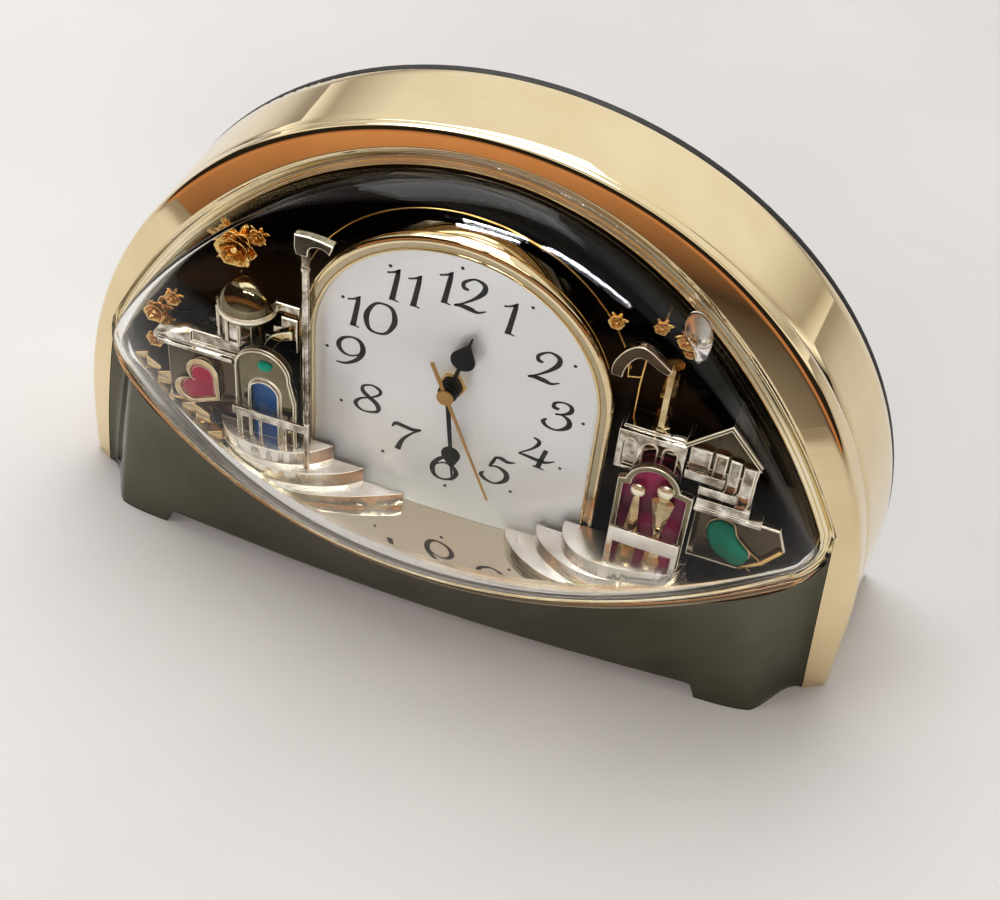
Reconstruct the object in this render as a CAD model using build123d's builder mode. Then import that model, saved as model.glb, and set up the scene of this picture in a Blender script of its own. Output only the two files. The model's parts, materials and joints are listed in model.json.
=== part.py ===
from build123d import *
import os
from math import asin, cos, degrees, pi, radians, sin, sqrt

# Mantel clock: an arched gilt case with a clear domed window over a small gilt street scene.
# Millimetres, +Z up, +X right as seen from the front, the front faces -Y.
# The origin is under the middle of the case, on the surface it stands on.
# Depths are given behind the dial (+) or in front of it (-).

os.makedirs("parts", exist_ok=True)

# ---- case ----
ARCH_R = 149.5            # radius of the case arch at the back
ARCH_Z = 24.8             # height of that arch's centre
CREASE_R = 146.0          # radius where the rear band meets the front bezel
CREASE_Z = 30.3
CREASE_DEPTH = 27.2       # depth of that seam behind the dial
BACK_DEPTH = 64.0         # depth of the band's rear edge behind the dial
WALL = 2.5                # moulded wall of the case
SEAM_GAP = 0.2            # gap between two fixed mouldings
COVER_T = 3.6             # back cover
LIP_TOP = 55.0            # the lip inside the bezel runs up to twice this height
FOOT_H = 6.0              # height of the cut-out between the feet
BASE_Z = 7.0              # underside of the shell's raised floor
BEZEL_ROLL = 3.8          # rounding of the bezel's outer front edge
PANEL_MARGIN = 8.0        # the crease stands this far outside the panel
PANEL_HALF = CREASE_R - PANEL_MARGIN   # half width of the front panel
PANEL_TOP_Z = 80.0        # height of the upper section its surface is drawn to
PANEL_FOOT = ((0, -18.5), (60, -17.6), (103, -15.8), (122, -13.6), (133, -7.5), (138, 4.0))
PANEL_TOP = ((0, -38.5), (60, -24.5), (103, -4.5), (120, 5.0), (130, 10.8), (138, 16.0))
RETURN_DEPTH = 22.0       # the panel's side returns end this far behind the dial
FOOT_W = 35.0             # width of each foot
FOOT_SLOT_HALF = PANEL_HALF - FOOT_W   # half length of the cut-out between the feet

# ---- window ----
EYE_TOP_RX = PANEL_HALF + 19.0   # the upper edge of the window is part of an ellipse
EYE_TOP_RZ = 214.0
EYE_TOP_CZ = -43.0
EYE_CORNER_Z = 72.0       # where the upper edge meets the corner curve
EYE_LOW_Z = 33.0          # lowest point of the lower edge
EYE_LOW_X = PANEL_HALF - 13.0    # ends of the lower edge
EYE_LOW_END_Z = 53.5
EYE_CORNER_MID = (PANEL_HALF - 6.4, 61.0)
RIM_BALL_R = 290.0        # the window's rim lies on a large ball
RIM_LOW = (-29.7, 33.0)   # depth and height of the rim at its lowest point
RIM_TOP = (21.5, 171.5)   # and at its highest
RIM_PROUD = 1.5           # the window's flange stands this far out of the bezel
RIM_GAP = 0.15
FLANGE_W = 4.0
LENS_T = 2.2
DOME_R = 97.0             # section radius of the dome
DOME_BOW_R = 215.0        # its radius in plan
DOME_AXIS_DEPTH = 53.0
DOME_AXIS_Z = 80.0

# ---- dial ----
DIAL_Z = 96.8             # height of the hand axis
DIAL_HALF = 49.5          # half width of the dial opening
DIAL_TOP = 53.6           # opening above the hand axis
DIAL_T = 0.8
DIAL_LIP = 1.2            # the plate reaches this far behind the frame
FRAME_W = 5.2             # width of the gilt arch frame
FRAME_FRONT = 2.6         # how far it stands in front of the dial
FRAME_ROLL = 1.8
SCENE_WALL_DEPTH = 7.0    # face of the dark wall behind the dial
SCENE_WALL_T = 2.0
SCENE_WALL_LAP = 2.0
FLOOR_T = 1.6             # gilt mirror floor
FLOOR_GAP = 0.4           # its underside above the window's lower edge

# ---- hands and movement ----
RUN = 0.08                # radial running clearance of a shaft
HAND_T = 0.5
HOUR_DEPTH = 3.4          # back face of each hand in front of the dial
MINUTE_DEPTH = 5.0
SECOND_DEPTH = 6.6
ARBOR_R = 0.6             # seconds arbor
PIPE_T = 0.6              # wall of the minute pipe and of the hour pipe
HUB_R = 3.4               # boss of each hand
REST_HOUR = 14.5          # rest angles, clockwise from twelve
REST_MINUTE = 174.0
REST_SECOND = 157.0
BUSH_R = 3.4
BUSH_GAP = 0.1
NUT_R = 4.8
NUT_T = 1.2
HOUR_LEN = 25.5
MINUTE_LEN = 39.0
SECOND_LEN = 45.0
SECOND_TAIL = 14.0
MOVE_W = 56.0             # width and height of the movement
MOVE_T = 15.0
MOVE_GAP = 0.3            # between the dial plate and the movement
CELL_R = 7.0
CELL_LEN = 48.5
CELL_DROP = MOVE_W / 2 - 9.5     # cell axis below the hand axis
KNOB_R = 8.0
KNOB_T = 6.0
KNOB_OFFSET = (15.0, 9.0)  # knob axis from the hand axis
STEM_R = 1.2

# ---- recess and hatch at the back ----
RECESS_W = 80.0
RECESS_H = 82.0
RECESS_WALL = 2.0
RECESS_FACE = 17.0        # front of the recess's end wall
MOVE_WINDOW = 52.0        # opening in that wall, on the movement
HATCH_T = 3.0
HATCH_GAP = 0.4
PEG_R = 1.0
PEG_LEN = 1.6
SCREW_R = 1.5
SCREW_HEAD_R = 3.2
SCREW_HEAD_T = 2.0
SCREW_GAP = 0.1
BOSS_R = 5.0
SCREW_REACH = ARCH_R - 6.6       # screw axes inside the case's outline
SCREW_LOW_Z = 20.0
SCREW_RISE = 40.0         # angle of the upper screws above the arch's centre
SCREW_SPOTS = [spot for side in (-1, 1) for spot in (
    (side * SCREW_REACH, SCREW_LOW_Z),
    (side * SCREW_REACH * cos(radians(SCREW_RISE)), ARCH_Z + SCREW_REACH * sin(radians(SCREW_RISE))),
)]

# ---- scenery ----
STEP_TOPS = (41.1, 47.4, 53.7)
TOUCH = 0.1               # gap between two pieces glued together
FLOOR_TOP = STEP_TOPS[2] + TOUCH   # the street, on top of the upper step
PORTAL_DEPTH = 8.8
PORTAL_T = 2.5
RAIL_DEPTH = 12.0
# plan of each step, from the dial side round to the outer side: across and behind the dial
LEFT_STEPS = (
    ((-14, -2.9), (-28.2, -10.7), (-38.6, -14.9), (-50.8, -17.7), (-66, -16.4), (-80, -11.6), (-88, -2.9)),
    ((-29.5, -2.9), (-33, -6.4), (-42, -11.8), (-52.1, -14.8), (-62, -15.4), (-73, -13.3), (-86, -2.9)),
    ((-41, -2.9), (-43.9, -6), (-50.2, -10.5), (-58.2, -13.1), (-67, -13.6), (-77, -11.3), (-84, -2.9)),
)
RIGHT_STEPS = (
    ((24.2, -2.9), (28.3, -9.9), (35.3, -15), (44.9, -18.5), (56.2, -19.4), (67.9, -16.9), (80, -11.6), (90, -2.9)),
    ((35, -2.9), (38.1, -9.2), (44.5, -14), (52.9, -17.3), (62, -17.4), (72, -14.8), (82, -10), (89, -2.9)),
    ((45, -2.9), (45.2, -7.1), (49, -13), (57.2, -16.4), (66.2, -16.5), (76.2, -14.4), (84.6, -11.4), (88, -2.9)),
)

SKIRT = 60.0              # longer than any cut needs to be
DOME_FRONT = DOME_R - DOME_AXIS_DEPTH
DIAL_Y = (DOME_FRONT - BACK_DEPTH - COVER_T) / 2
COLUMN_AT = (-50.6, DIAL_Y - 4.6)


def facing(depth):
    """A plane parallel to the dial, at a depth behind it; its normal faces the viewer."""
    return Plane.XZ.offset(-(DIAL_Y + depth))


def rim_ball():
    """Centre depth and height of the ball through the rim's lowest and highest points."""
    mid_depth = (RIM_LOW[0] + RIM_TOP[0]) / 2
    mid_z = (RIM_LOW[1] + RIM_TOP[1]) / 2
    run_depth = RIM_TOP[0] - RIM_LOW[0]
    run_z = RIM_TOP[1] - RIM_LOW[1]
    chord = sqrt(run_depth**2 + run_z**2)
    reach = sqrt(RIM_BALL_R**2 - chord**2 / 4)
    return mid_depth + reach * run_z / chord, mid_z - reach * run_depth / chord


BALL_DEPTH, BALL_Z = rim_ball()


def wall_at(x, z, reach):
    """Depth at which a stem of this radius meets the wall behind the scenery."""
    radius = RIM_BALL_R - WALL - 2 * SEAM_GAP
    curved = BALL_DEPTH - sqrt(radius**2 - (abs(x) - reach)**2 - (z - reach - BALL_Z)**2)
    return max(SCENE_WALL_DEPTH, curved) - TOUCH


def ball(radius, mode=Mode.INTERSECT):
    """A ball about the rim's centre, cut from or kept in the piece being built."""
    with Locations((0, DIAL_Y + BALL_DEPTH, BALL_Z)):
        Sphere(radius, mode=mode)


def arch(radius, centre_z, inset=0.0, foot=0.0):
    """Outline of the case: a half circle on two straight legs."""
    r = radius - inset
    with BuildSketch() as face:
        with BuildLine():
            top = ThreePointArc((-r, centre_z), (0, centre_z + r), (r, centre_z))
            Polyline(top @ 1, (r, foot), (-r, foot), top @ 0)
        make_face()
    return face.sketch


def eye(outset=0.0):
    """Outline of the window, grown by an outset: a tall upper arc and a shallow lower arc."""
    wide = EYE_TOP_RX + outset
    tall = EYE_TOP_RZ + outset
    start = degrees(asin((EYE_CORNER_Z - EYE_TOP_CZ) / tall))
    end_x = EYE_LOW_X + 0.45 * outset
    end_z = EYE_LOW_END_Z - 0.89 * outset
    mid_x = EYE_CORNER_MID[0] + 0.93 * outset
    mid_z = EYE_CORNER_MID[1] - 0.37 * outset
    with BuildSketch() as face:
        with BuildLine():
            upper = EllipticalCenterArc((0, EYE_TOP_CZ), wide, tall,
                                        start_angle=start, arc_size=180 - 2 * start)
            low = ThreePointArc((-end_x, end_z), (0, EYE_LOW_Z - outset), (end_x, end_z))
            ThreePointArc(low @ 1, (mid_x, mid_z), upper @ 0)
            ThreePointArc(low @ 0, (-mid_x, mid_z), upper @ 1)
        make_face()
    return face.sketch


def dial_arch(outset, foot):
    """Outline of the dial opening, grown by an outset."""
    r = DIAL_HALF + outset
    spring = DIAL_Z + DIAL_TOP - DIAL_HALF
    with BuildSketch() as face:
        with BuildLine():
            top = ThreePointArc((-r, spring), (0, spring + r), (r, spring))
            Polyline(top @ 1, (r, foot), (-r, foot), top @ 0)
        make_face()
    return face.sketch


def dome(radius, bow, mode):
    """A lemon-shaped solid: a shallow bow turned about a level axis behind the window."""
    end = sqrt(bow**2 - (bow - radius)**2)
    with BuildSketch(Plane.XY.offset(DOME_AXIS_Z)) as bow_face:
        axis_y = DIAL_Y + DOME_AXIS_DEPTH
        with BuildLine():
            front = ThreePointArc((-end, axis_y), (0, axis_y - radius), (end, axis_y))
            Line(front @ 1, front @ 0)
        make_face()
    revolve(bow_face.sketch, axis=Axis((0, axis_y, DOME_AXIS_Z), (1, 0, 0)), mode=mode)



def outline(*points):
    """A flat face from a closed run of straight edges."""
    with BuildSketch() as face:
        with BuildLine():
            Polyline(*points, close=True)
        make_face()
    return face.sketch


def freeform(points, shut=True):
    """A flat face from one smooth curve, closed on itself or by a straight edge."""
    with BuildSketch() as face:
        with BuildLine():
            if shut:
                Spline(*points, periodic=True)
            else:
                bend = Spline(*points)
                Line(bend @ 1, bend @ 0)
        make_face()
    return face.sketch


def round_head(centre_x, half, foot, spring, crown=None):
    """A door or arch outline: two jambs and a curved head."""
    top = spring + half if crown is None else crown
    with BuildSketch() as face:
        with BuildLine():
            head = ThreePointArc((centre_x - half, spring), (centre_x, top), (centre_x + half, spring))
            Polyline(head @ 1, (centre_x + half, foot), (centre_x - half, foot), head @ 0)
        make_face()
    return face.sketch


def blossom(radius, petals=5):
    """Face of a stamped flower: a ring of round petals about a middle disc."""
    with BuildSketch() as face:
        Circle(0.55 * radius)
        with PolarLocations(0.58 * radius, petals, start_angle=90):
            Circle(0.42 * radius)
    return face.sketch


def panel_plan(points, inset=0.0, back=RETURN_DEPTH):
    """Plan of the front panel: a smooth bow with straight returns to the rear."""
    squeeze = (PANEL_HALF - inset) / points[-1][0]
    right = [(x * squeeze, DIAL_Y + depth + inset) for x, depth in points]
    left = [(-x, y) for x, y in reversed(right[1:])]
    with BuildSketch() as face:
        with BuildLine():
            bow = Spline(*left, *right)
            Polyline(bow @ 1, (right[-1][0], DIAL_Y + back), (left[0][0], DIAL_Y + back), bow @ 0)
        make_face()
    return face.sketch


def step_stack(layers):
    """Three curved steps, each smaller than the one under it, standing on the mirror floor."""
    tops = (STEP_TOPS[0] - 12, *STEP_TOPS)
    for index, points in enumerate(layers):
        with BuildSketch(Plane.XY.offset(tops[index])) as plan:
            add(Pos(0, DIAL_Y) * freeform(points, shut=False))
        extrude(plan.sketch, amount=tops[index + 1] - tops[index])
    with BuildSketch(facing(SCENE_WALL_DEPTH)) as above_floor:
        add(Pos(0, FLOOR_GAP + FLOOR_T + TOUCH) * eye())
    extrude(above_floor.sketch, amount=SKIRT, mode=Mode.INTERSECT)


def hand(length, bulb_at, bulb_r, depth, angle, bore):
    """A flat spade hand: boss, slim stem, round bulb and a pointed tip."""
    with BuildSketch() as face:
        Circle(HUB_R)
        with BuildLine():
            Polyline((-0.9, 0), (-0.6, bulb_at), (0.6, bulb_at), (0.9, 0), close=True)
        make_face()
        with Locations((0, bulb_at)):
            Circle(bulb_r)
        with BuildLine():
            Polyline((-0.86 * bulb_r, bulb_at + 0.5 * bulb_r), (-0.5, bulb_at + 1.7 * bulb_r),
                     (-0.25, length), (0.25, length), (0.5, bulb_at + 1.7 * bulb_r),
                     (0.86 * bulb_r, bulb_at + 0.5 * bulb_r), close=True)
        make_face()
        Circle(bore, mode=Mode.SUBTRACT)
    with BuildSketch(facing(-depth)) as blank:
        add(Pos(0, DIAL_Z) * Rot(0, 0, -angle) * face.sketch)
    extrude(blank.sketch, amount=HAND_T)


def heart(grow):
    """Outline of the heart on the left house, lying on one side, grown about its middle."""
    middle = (-89.5, 67.5)
    size = 1 + grow / 8.5
    a, b, notch, c, d, tip = [
        (middle[0] + (x - middle[0]) * size, middle[1] + (z - middle[1]) * size)
        for x, z in ((-82.6, 74), (-88.8, 79.6), (-93, 69.5), (-99.6, 63), (-93.6, 57.6), (-82.4, 62.8))
    ]
    with BuildSketch() as face:
        with BuildLine():
            ThreePointArc(a, b, notch)
            ThreePointArc(notch, c, d)
            Polyline(d, tip, a)
        make_face()
    return face.sketch


def kidney(grow):
    """Outline of the bean-shaped stone on the right house, grown about its middle."""
    middle = (99.5, 68.3)
    size = 1 + grow / 8.5
    rim = ((91.6, 72), (94.5, 77), (99.9, 76.6), (102, 71.5), (107.4, 65.4), (104, 59.6), (95.5, 63.6))
    return freeform([(middle[0] + (x - middle[0]) * size, middle[1] + (z - middle[1]) * size) for x, z in rim])


def niche_face(grow):
    """Outline of the niche: a round head on two shoulders."""
    half = 12.6 + grow
    arc_half = 9 + grow
    with BuildSketch() as face:
        with BuildLine():
            head = ThreePointArc((72.4 - arc_half, 88.2 + grow), (72.4, 96 + grow), (72.4 + arc_half, 88.2 + grow))
            Polyline(head @ 1, (73.4 + half, 87.4 + grow), (73.4 + half, FLOOR_TOP),
                     (73.4 - half, FLOOR_TOP), (73.4 - half, 87.4 + grow), head @ 0)
        make_face()
    return face.sketch


def needle():
    """Outline of the seconds hand, pointing to twelve, with its tail below."""
    with BuildSketch() as face:
        Circle(2.2)
        with BuildLine():
            Polyline((-0.7, -SECOND_TAIL), (-0.35, SECOND_LEN), (0.35, SECOND_LEN), (0.7, -SECOND_TAIL),
                     close=True)
        make_face()
        Circle(ARBOR_R, mode=Mode.SUBTRACT)
    return face.sketch


def pipe(outer, inner, rear, front):
    """A tube on the hand axis."""
    with BuildSketch(facing(rear)) as ring:
        with Locations((0, DIAL_Z)):
            Circle(outer)
            if inner:
                Circle(inner, mode=Mode.SUBTRACT)
    extrude(ring.sketch, amount=rear + front)


# ================= case =================
with BuildPart() as rear_shell:
    for inset, start, end, foot, mode in (
        (0, CREASE_DEPTH + SEAM_GAP, BACK_DEPTH, 0, Mode.ADD),
        (WALL, CREASE_DEPTH - 1, BACK_DEPTH + 1, BASE_Z + WALL, Mode.SUBTRACT),
    ):
        with BuildSketch(facing(start)):
            add(arch(CREASE_R, CREASE_Z, inset, foot))
        with BuildSketch(facing(end)):
            add(arch(ARCH_R, ARCH_Z, inset, foot))
        loft(mode=mode)
    with BuildSketch(facing(BACK_DEPTH + 1)):
        Rectangle(2 * (CREASE_R - WALL), 2 * BASE_Z)
    extrude(amount=SKIRT, mode=Mode.SUBTRACT)
    # locating lip inside the bezel
    with BuildSketch(facing(CREASE_DEPTH + 3)):
        add(arch(CREASE_R, CREASE_Z, WALL + SEAM_GAP, BASE_Z))
        add(arch(CREASE_R, CREASE_Z, WALL + SEAM_GAP + 1.5, BASE_Z + WALL), mode=Mode.SUBTRACT)
        Rectangle(4 * ARCH_R, 4 * LIP_TOP, mode=Mode.INTERSECT)
    extrude(amount=5)
    # screw bosses
    with BuildSketch(facing(BACK_DEPTH)):
        with Locations(*SCREW_SPOTS):
            Circle(BOSS_R)
    extrude(amount=14)
    with BuildSketch(facing(BACK_DEPTH)):
        with Locations(*SCREW_SPOTS):
            Circle(SCREW_R + SCREW_GAP)
    extrude(amount=12, mode=Mode.SUBTRACT)
rear_shell.part.label = "rear_shell"
export_step(rear_shell.part, "parts/rear_shell.step")

with BuildPart() as arch_bezel:
    with BuildSketch(facing(CREASE_DEPTH)):
        add(arch(CREASE_R, CREASE_Z))
    extrude(amount=SKIRT)
    ball(RIM_BALL_R)
    roll = [edge for edge in arch_bezel.edges()
            if edge.center().Y < DIAL_Y + CREASE_DEPTH - 1 and edge.center().Z > 1
            and abs(edge.position_at(0.5).Y - (DIAL_Y + CREASE_DEPTH)) > 1]
    fillet(roll, radius=BEZEL_ROLL)
    with BuildPart(mode=Mode.PRIVATE) as hollow:
        with BuildSketch(facing(CREASE_DEPTH)):
            add(arch(CREASE_R, CREASE_Z, WALL, -1))
        extrude(amount=SKIRT)
        ball(RIM_BALL_R - WALL)
    add(hollow.part, mode=Mode.SUBTRACT)
    with BuildSketch(facing(CREASE_DEPTH - 0.1)):
        add(eye())
        with Locations((0, EYE_CORNER_Z / 2)):
            Rectangle(2 * (PANEL_HALF + SEAM_GAP), EYE_CORNER_Z)
        Rectangle(2 * (PANEL_HALF + SEAM_GAP), 2)
    extrude(amount=SKIRT, mode=Mode.SUBTRACT)
arch_bezel.part.label = "arch_bezel"
export_step(arch_bezel.part, "parts/arch_bezel.step")

with BuildPart() as front_panel:
    with BuildSketch(Plane.XY):
        add(panel_plan(PANEL_FOOT))
    with BuildSketch(Plane.XY.offset(PANEL_TOP_Z)):
        add(panel_plan(PANEL_TOP))
    loft()
    with BuildSketch(Plane.XY.offset(-0.01)):
        add(panel_plan(PANEL_FOOT, WALL, RETURN_DEPTH + 1))
    with BuildSketch(Plane.XY.offset(PANEL_TOP_Z + 0.01)):
        add(panel_plan(PANEL_TOP, WALL, RETURN_DEPTH + 1))
    loft(mode=Mode.SUBTRACT)
    with BuildSketch(facing(RETURN_DEPTH + 2)):
        add(eye(RIM_GAP))
        with Locations((0, PANEL_TOP_Z)):
            Rectangle(2 * PANEL_HALF + 2, 2 * (PANEL_TOP_Z - EYE_CORNER_Z + SEAM_GAP))
    extrude(amount=2 * SKIRT, mode=Mode.SUBTRACT)
    with BuildSketch(facing(0)):
        Rectangle(2 * FOOT_SLOT_HALF, 2 * FOOT_H)
        fillet(vertices(), FOOT_H * 0.6)
    extrude(amount=SKIRT, mode=Mode.SUBTRACT)
front_panel.part.label = "front_panel"
export_step(front_panel.part, "parts/front_panel.step")

with BuildPart(mode=Mode.PRIVATE) as room:
    with BuildSketch(facing(31)):
        add(eye(-FLANGE_W - LENS_T))
    extrude(amount=2 * SKIRT)
    dome(DOME_R - LENS_T, DOME_BOW_R - LENS_T, Mode.INTERSECT)

with BuildPart(mode=Mode.PRIVATE) as flange:
    with BuildSketch(facing(30)):
        add(eye(-RIM_GAP))
    extrude(amount=2 * SKIRT)
    ball(RIM_BALL_R + RIM_PROUD)
    ball(RIM_BALL_R - WALL - SEAM_GAP, Mode.SUBTRACT)
    add(room.part, mode=Mode.SUBTRACT)

with BuildPart() as lens:
    with BuildSketch(facing(30)):
        add(eye(-FLANGE_W))
    extrude(amount=2 * SKIRT)
    dome(DOME_R, DOME_BOW_R, Mode.INTERSECT)
    ball(RIM_BALL_R - WALL - SEAM_GAP, Mode.SUBTRACT)
    add(room.part, mode=Mode.SUBTRACT)
    add(flange.part)
lens.part.label = "lens"
export_step(lens.part, "parts/lens.step")

# ================= inside walls =================
with BuildPart() as scene_wall:
    behind_rim = RIM_BALL_R - WALL - 2 * SEAM_GAP
    for start, radius, grow, mode in (
        (SCENE_WALL_DEPTH, behind_rim, 0, Mode.ADD),
        (SCENE_WALL_DEPTH + SCENE_WALL_T, behind_rim - SCENE_WALL_T, 4, Mode.SUBTRACT),
    ):
        with BuildPart(mode=Mode.PRIVATE) as tray:
            with BuildSketch(facing(27 + grow)):
                add(eye(SCENE_WALL_LAP + grow))
                with Locations((0, EYE_CORNER_Z / 2)):
                    Rectangle(320, EYE_CORNER_Z + 4, mode=Mode.SUBTRACT)
                add(eye(grow - 2 * RIM_GAP))
            extrude(amount=27 + grow - start)
            ball(radius)
        add(tray.part, mode=mode)
    with BuildSketch(facing(31)):
        with Locations((0, DIAL_Z)):
            Rectangle(MOVE_W + 2, MOVE_W + 2)
    extrude(amount=31, mode=Mode.SUBTRACT)
scene_wall.part.label = "scene_wall"
export_step(scene_wall.part, "parts/scene_wall.step")

with BuildPart() as mirror_floor:
    with BuildSketch(facing(SCENE_WALL_DEPTH - TOUCH)):
        add(eye(-FLOOR_GAP))
        add(Pos(0, FLOOR_T) * eye(-FLOOR_GAP), mode=Mode.SUBTRACT)
        with Locations((0, 30)):
            Rectangle(2 * EYE_LOW_X, 60, mode=Mode.INTERSECT)
    extrude(amount=SKIRT)
    ball(RIM_BALL_R - WALL - 2 * SEAM_GAP)
mirror_floor.part.label = "mirror_floor"
export_step(mirror_floor.part, "parts/mirror_floor.step")

with BuildPart() as dial_frame:
    with BuildSketch(facing(SCENE_WALL_DEPTH - TOUCH)):
        add(dial_arch(FRAME_W, 20))
        add(dial_arch(0, 19), mode=Mode.SUBTRACT)
        add(Pos(0, FLOOR_GAP + FLOOR_T + TOUCH) * eye(), mode=Mode.INTERSECT)
    extrude(amount=SCENE_WALL_DEPTH - TOUCH + FRAME_FRONT)
    crown = dial_frame.faces().sort_by(Axis.Y)[0].outer_wire().edges()
    rim = [edge for edge in crown if edge.length > 20 and
           (abs(edge.center().X) > DIAL_HALF + FRAME_W - 1 or edge.position_at(0.5).Z > DIAL_Z + DIAL_TOP + 2)]
    fillet(rim, radius=FRAME_ROLL)
dial_frame.part.label = "dial_frame"
export_step(dial_frame.part, "parts/dial_frame.step")

with BuildPart() as dial_plate:
    with BuildSketch(facing(DIAL_T)):
        add(dial_arch(-TOUCH, 20))
        add(Pos(0, FLOOR_GAP + FLOOR_T + TOUCH) * eye(), mode=Mode.INTERSECT)
        with Locations((0, DIAL_Z)):
            Circle(BUSH_R + 2 * BUSH_GAP, mode=Mode.SUBTRACT)
    extrude(amount=DIAL_T)
dial_plate.part.label = "dial_plate"
export_step(dial_plate.part, "parts/dial_plate.step")

# ================= scenery, left =================
with BuildPart() as left_steps:
    step_stack(LEFT_STEPS)
left_steps.part.label = "left_steps"
export_step(left_steps.part, "parts/left_steps.step")

with BuildPart() as left_house:
    with BuildSketch(facing(-1.5)):
        add(outline((-103, 55), (-74.6, 55), (-74.6, 82), (-103, 82)))
    extrude(amount=2.5)
left_house.part.label = "left_house"
export_step(left_house.part, "parts/left_house.step")

with BuildPart() as left_cornice:
    with BuildSketch(facing(SCENE_WALL_DEPTH - TOUCH)):
        add(outline((-107, 82.1), (-75.4, 82.1), (-75.4, 85), (-93, 85), (-93, 89.5), (-104, 85), (-107, 85)))
    extrude(amount=SCENE_WALL_DEPTH + 5.5)
    with BuildSketch(facing(0)):
        add(outline((-93, 84), (-75.4, 84), (-75.4, 89.5), (-93, 89.5)))
    extrude(amount=4.2)
    with BuildSketch(facing(-5)):
        add(outline((-105, 82.1), (-77, 82.1), (-77, 83.6), (-105, 83.6)))
    extrude(amount=2)
left_cornice.part.label = "left_cornice"
export_step(left_cornice.part, "parts/left_cornice.step")

with BuildPart() as heart_bezel:
    with BuildSketch(facing(-4.1)):
        add(heart(0))
        add(heart(-1.7), mode=Mode.SUBTRACT)
    extrude(amount=3)
heart_bezel.part.label = "heart_bezel"
export_step(heart_bezel.part, "parts/heart_bezel.step")

with BuildPart() as heart_gem:
    with BuildSketch(facing(-4.1)):
        add(heart(-1.8))
    extrude(amount=2)
    with BuildSketch(facing(-6.1)):
        add(heart(-2.6))
    extrude(amount=0.5)
heart_gem.part.label = "heart_gem"
export_step(heart_gem.part, "parts/heart_gem.step")

with BuildPart() as left_portal:
    with BuildSketch(facing(-PORTAL_DEPTH + PORTAL_T)):
        with BuildLine():
            head = ThreePointArc((-75, 84), (-65, 94.3), (-54.6, 83.5))
            Polyline(head @ 1, (-52.5, 74), (-52.5, FLOOR_TOP), (-75, FLOOR_TOP), head @ 0)
        make_face()
        add(round_head(-64, 5, FLOOR_TOP - 1, 75.5), mode=Mode.SUBTRACT)
    extrude(amount=PORTAL_T)
    with BuildSketch(facing(-PORTAL_DEPTH)):
        add(round_head(-64, 6, FLOOR_TOP, 75.5))
        add(round_head(-64, 5, FLOOR_TOP - 1, 75.5), mode=Mode.SUBTRACT)
    extrude(amount=0.6)
left_portal.part.label = "left_portal"
export_step(left_portal.part, "parts/left_portal.step")

with BuildPart() as door_panel:
    with BuildSketch(facing(-PORTAL_DEPTH + PORTAL_T)):
        add(round_head(-64, 5 - TOUCH, FLOOR_TOP, 75.5))
    extrude(amount=PORTAL_T - 1)
door_panel.part.label = "door_panel"
export_step(door_panel.part, "parts/door_panel.step")

with BuildPart() as oval_gem:
    with BuildSketch(facing(-PORTAL_DEPTH - TOUCH)):
        with Locations((-63.6, 87.8)):
            Ellipse(3.2, 3.4)
    extrude(amount=1)
    with BuildSketch(facing(-PORTAL_DEPTH - TOUCH - 1)):
        with Locations((-63.6, 87.8)):
            RegularPolygon(3, 8)
    extrude(amount=1, taper=35)
oval_gem.part.label = "oval_gem"
export_step(oval_gem.part, "parts/oval_gem.step")

with BuildPart() as left_rotunda:
    with BuildSketch(Plane.XY.offset(89.7)):
        with Locations((-77, DIAL_Y + 3.5)):
            Circle(9.2)
        with Locations((-77, DIAL_Y + SCENE_WALL_DEPTH - TOUCH + 20)):
            Rectangle(40, 40, mode=Mode.SUBTRACT)
    extrude(amount=13.3)
    for turn in (-56, -28, 0, 28, 56):
        with BuildSketch(Plane(origin=(-77, DIAL_Y + 3.5, 0), x_dir=(cos(radians(turn)), sin(radians(turn)), 0),
                               z_dir=(sin(radians(turn)), -cos(radians(turn)), 0)).offset(8.2)):
            add(round_head(0, 1.5, 91, 99))
        extrude(amount=3, mode=Mode.SUBTRACT)
left_rotunda.part.label = "left_rotunda"
export_step(left_rotunda.part, "parts/left_rotunda.step")

with BuildPart() as left_dome:
    with BuildSketch(facing(0)):
        with BuildLine():
            cap = EllipticalCenterArc((0, 0), 10.6, 10, start_angle=0, arc_size=90)
            Polyline(cap @ 1, (0, -1), (10.6, -1), cap @ 0)
        make_face()
    revolve(axis=Axis((0, DIAL_Y, 0), (0, 0, 1)))
    scale(by=(1, 0.86, 1))
left_dome.part = Pos(-74.2, 0.14 * DIAL_Y - 2.4, 104.2) * left_dome.part
left_dome.part.label = "left_dome"
export_step(left_dome.part, "parts/left_dome.step")

with BuildPart() as left_terrace:
    with BuildSketch(facing(SCENE_WALL_DEPTH - TOUCH)):
        with Locations((-61.2, 90)):
            Circle(6.1)
            Circle(4.6, mode=Mode.SUBTRACT)
        with Locations((-61.2, 80)):
            Rectangle(20, 20, mode=Mode.SUBTRACT)
        with Locations((-59, 99)):
            Rectangle(3, 9)
        for level in (101.5, 105, 108.5):
            with Locations((-59.2, level)):
                Rectangle(6.6, 2.3)
        with Locations((-59, 104)):
            Rectangle(3, 9)
    extrude(amount=SCENE_WALL_DEPTH + 4)
left_terrace.part.label = "left_terrace"
export_step(left_terrace.part, "parts/left_terrace.step")

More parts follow.
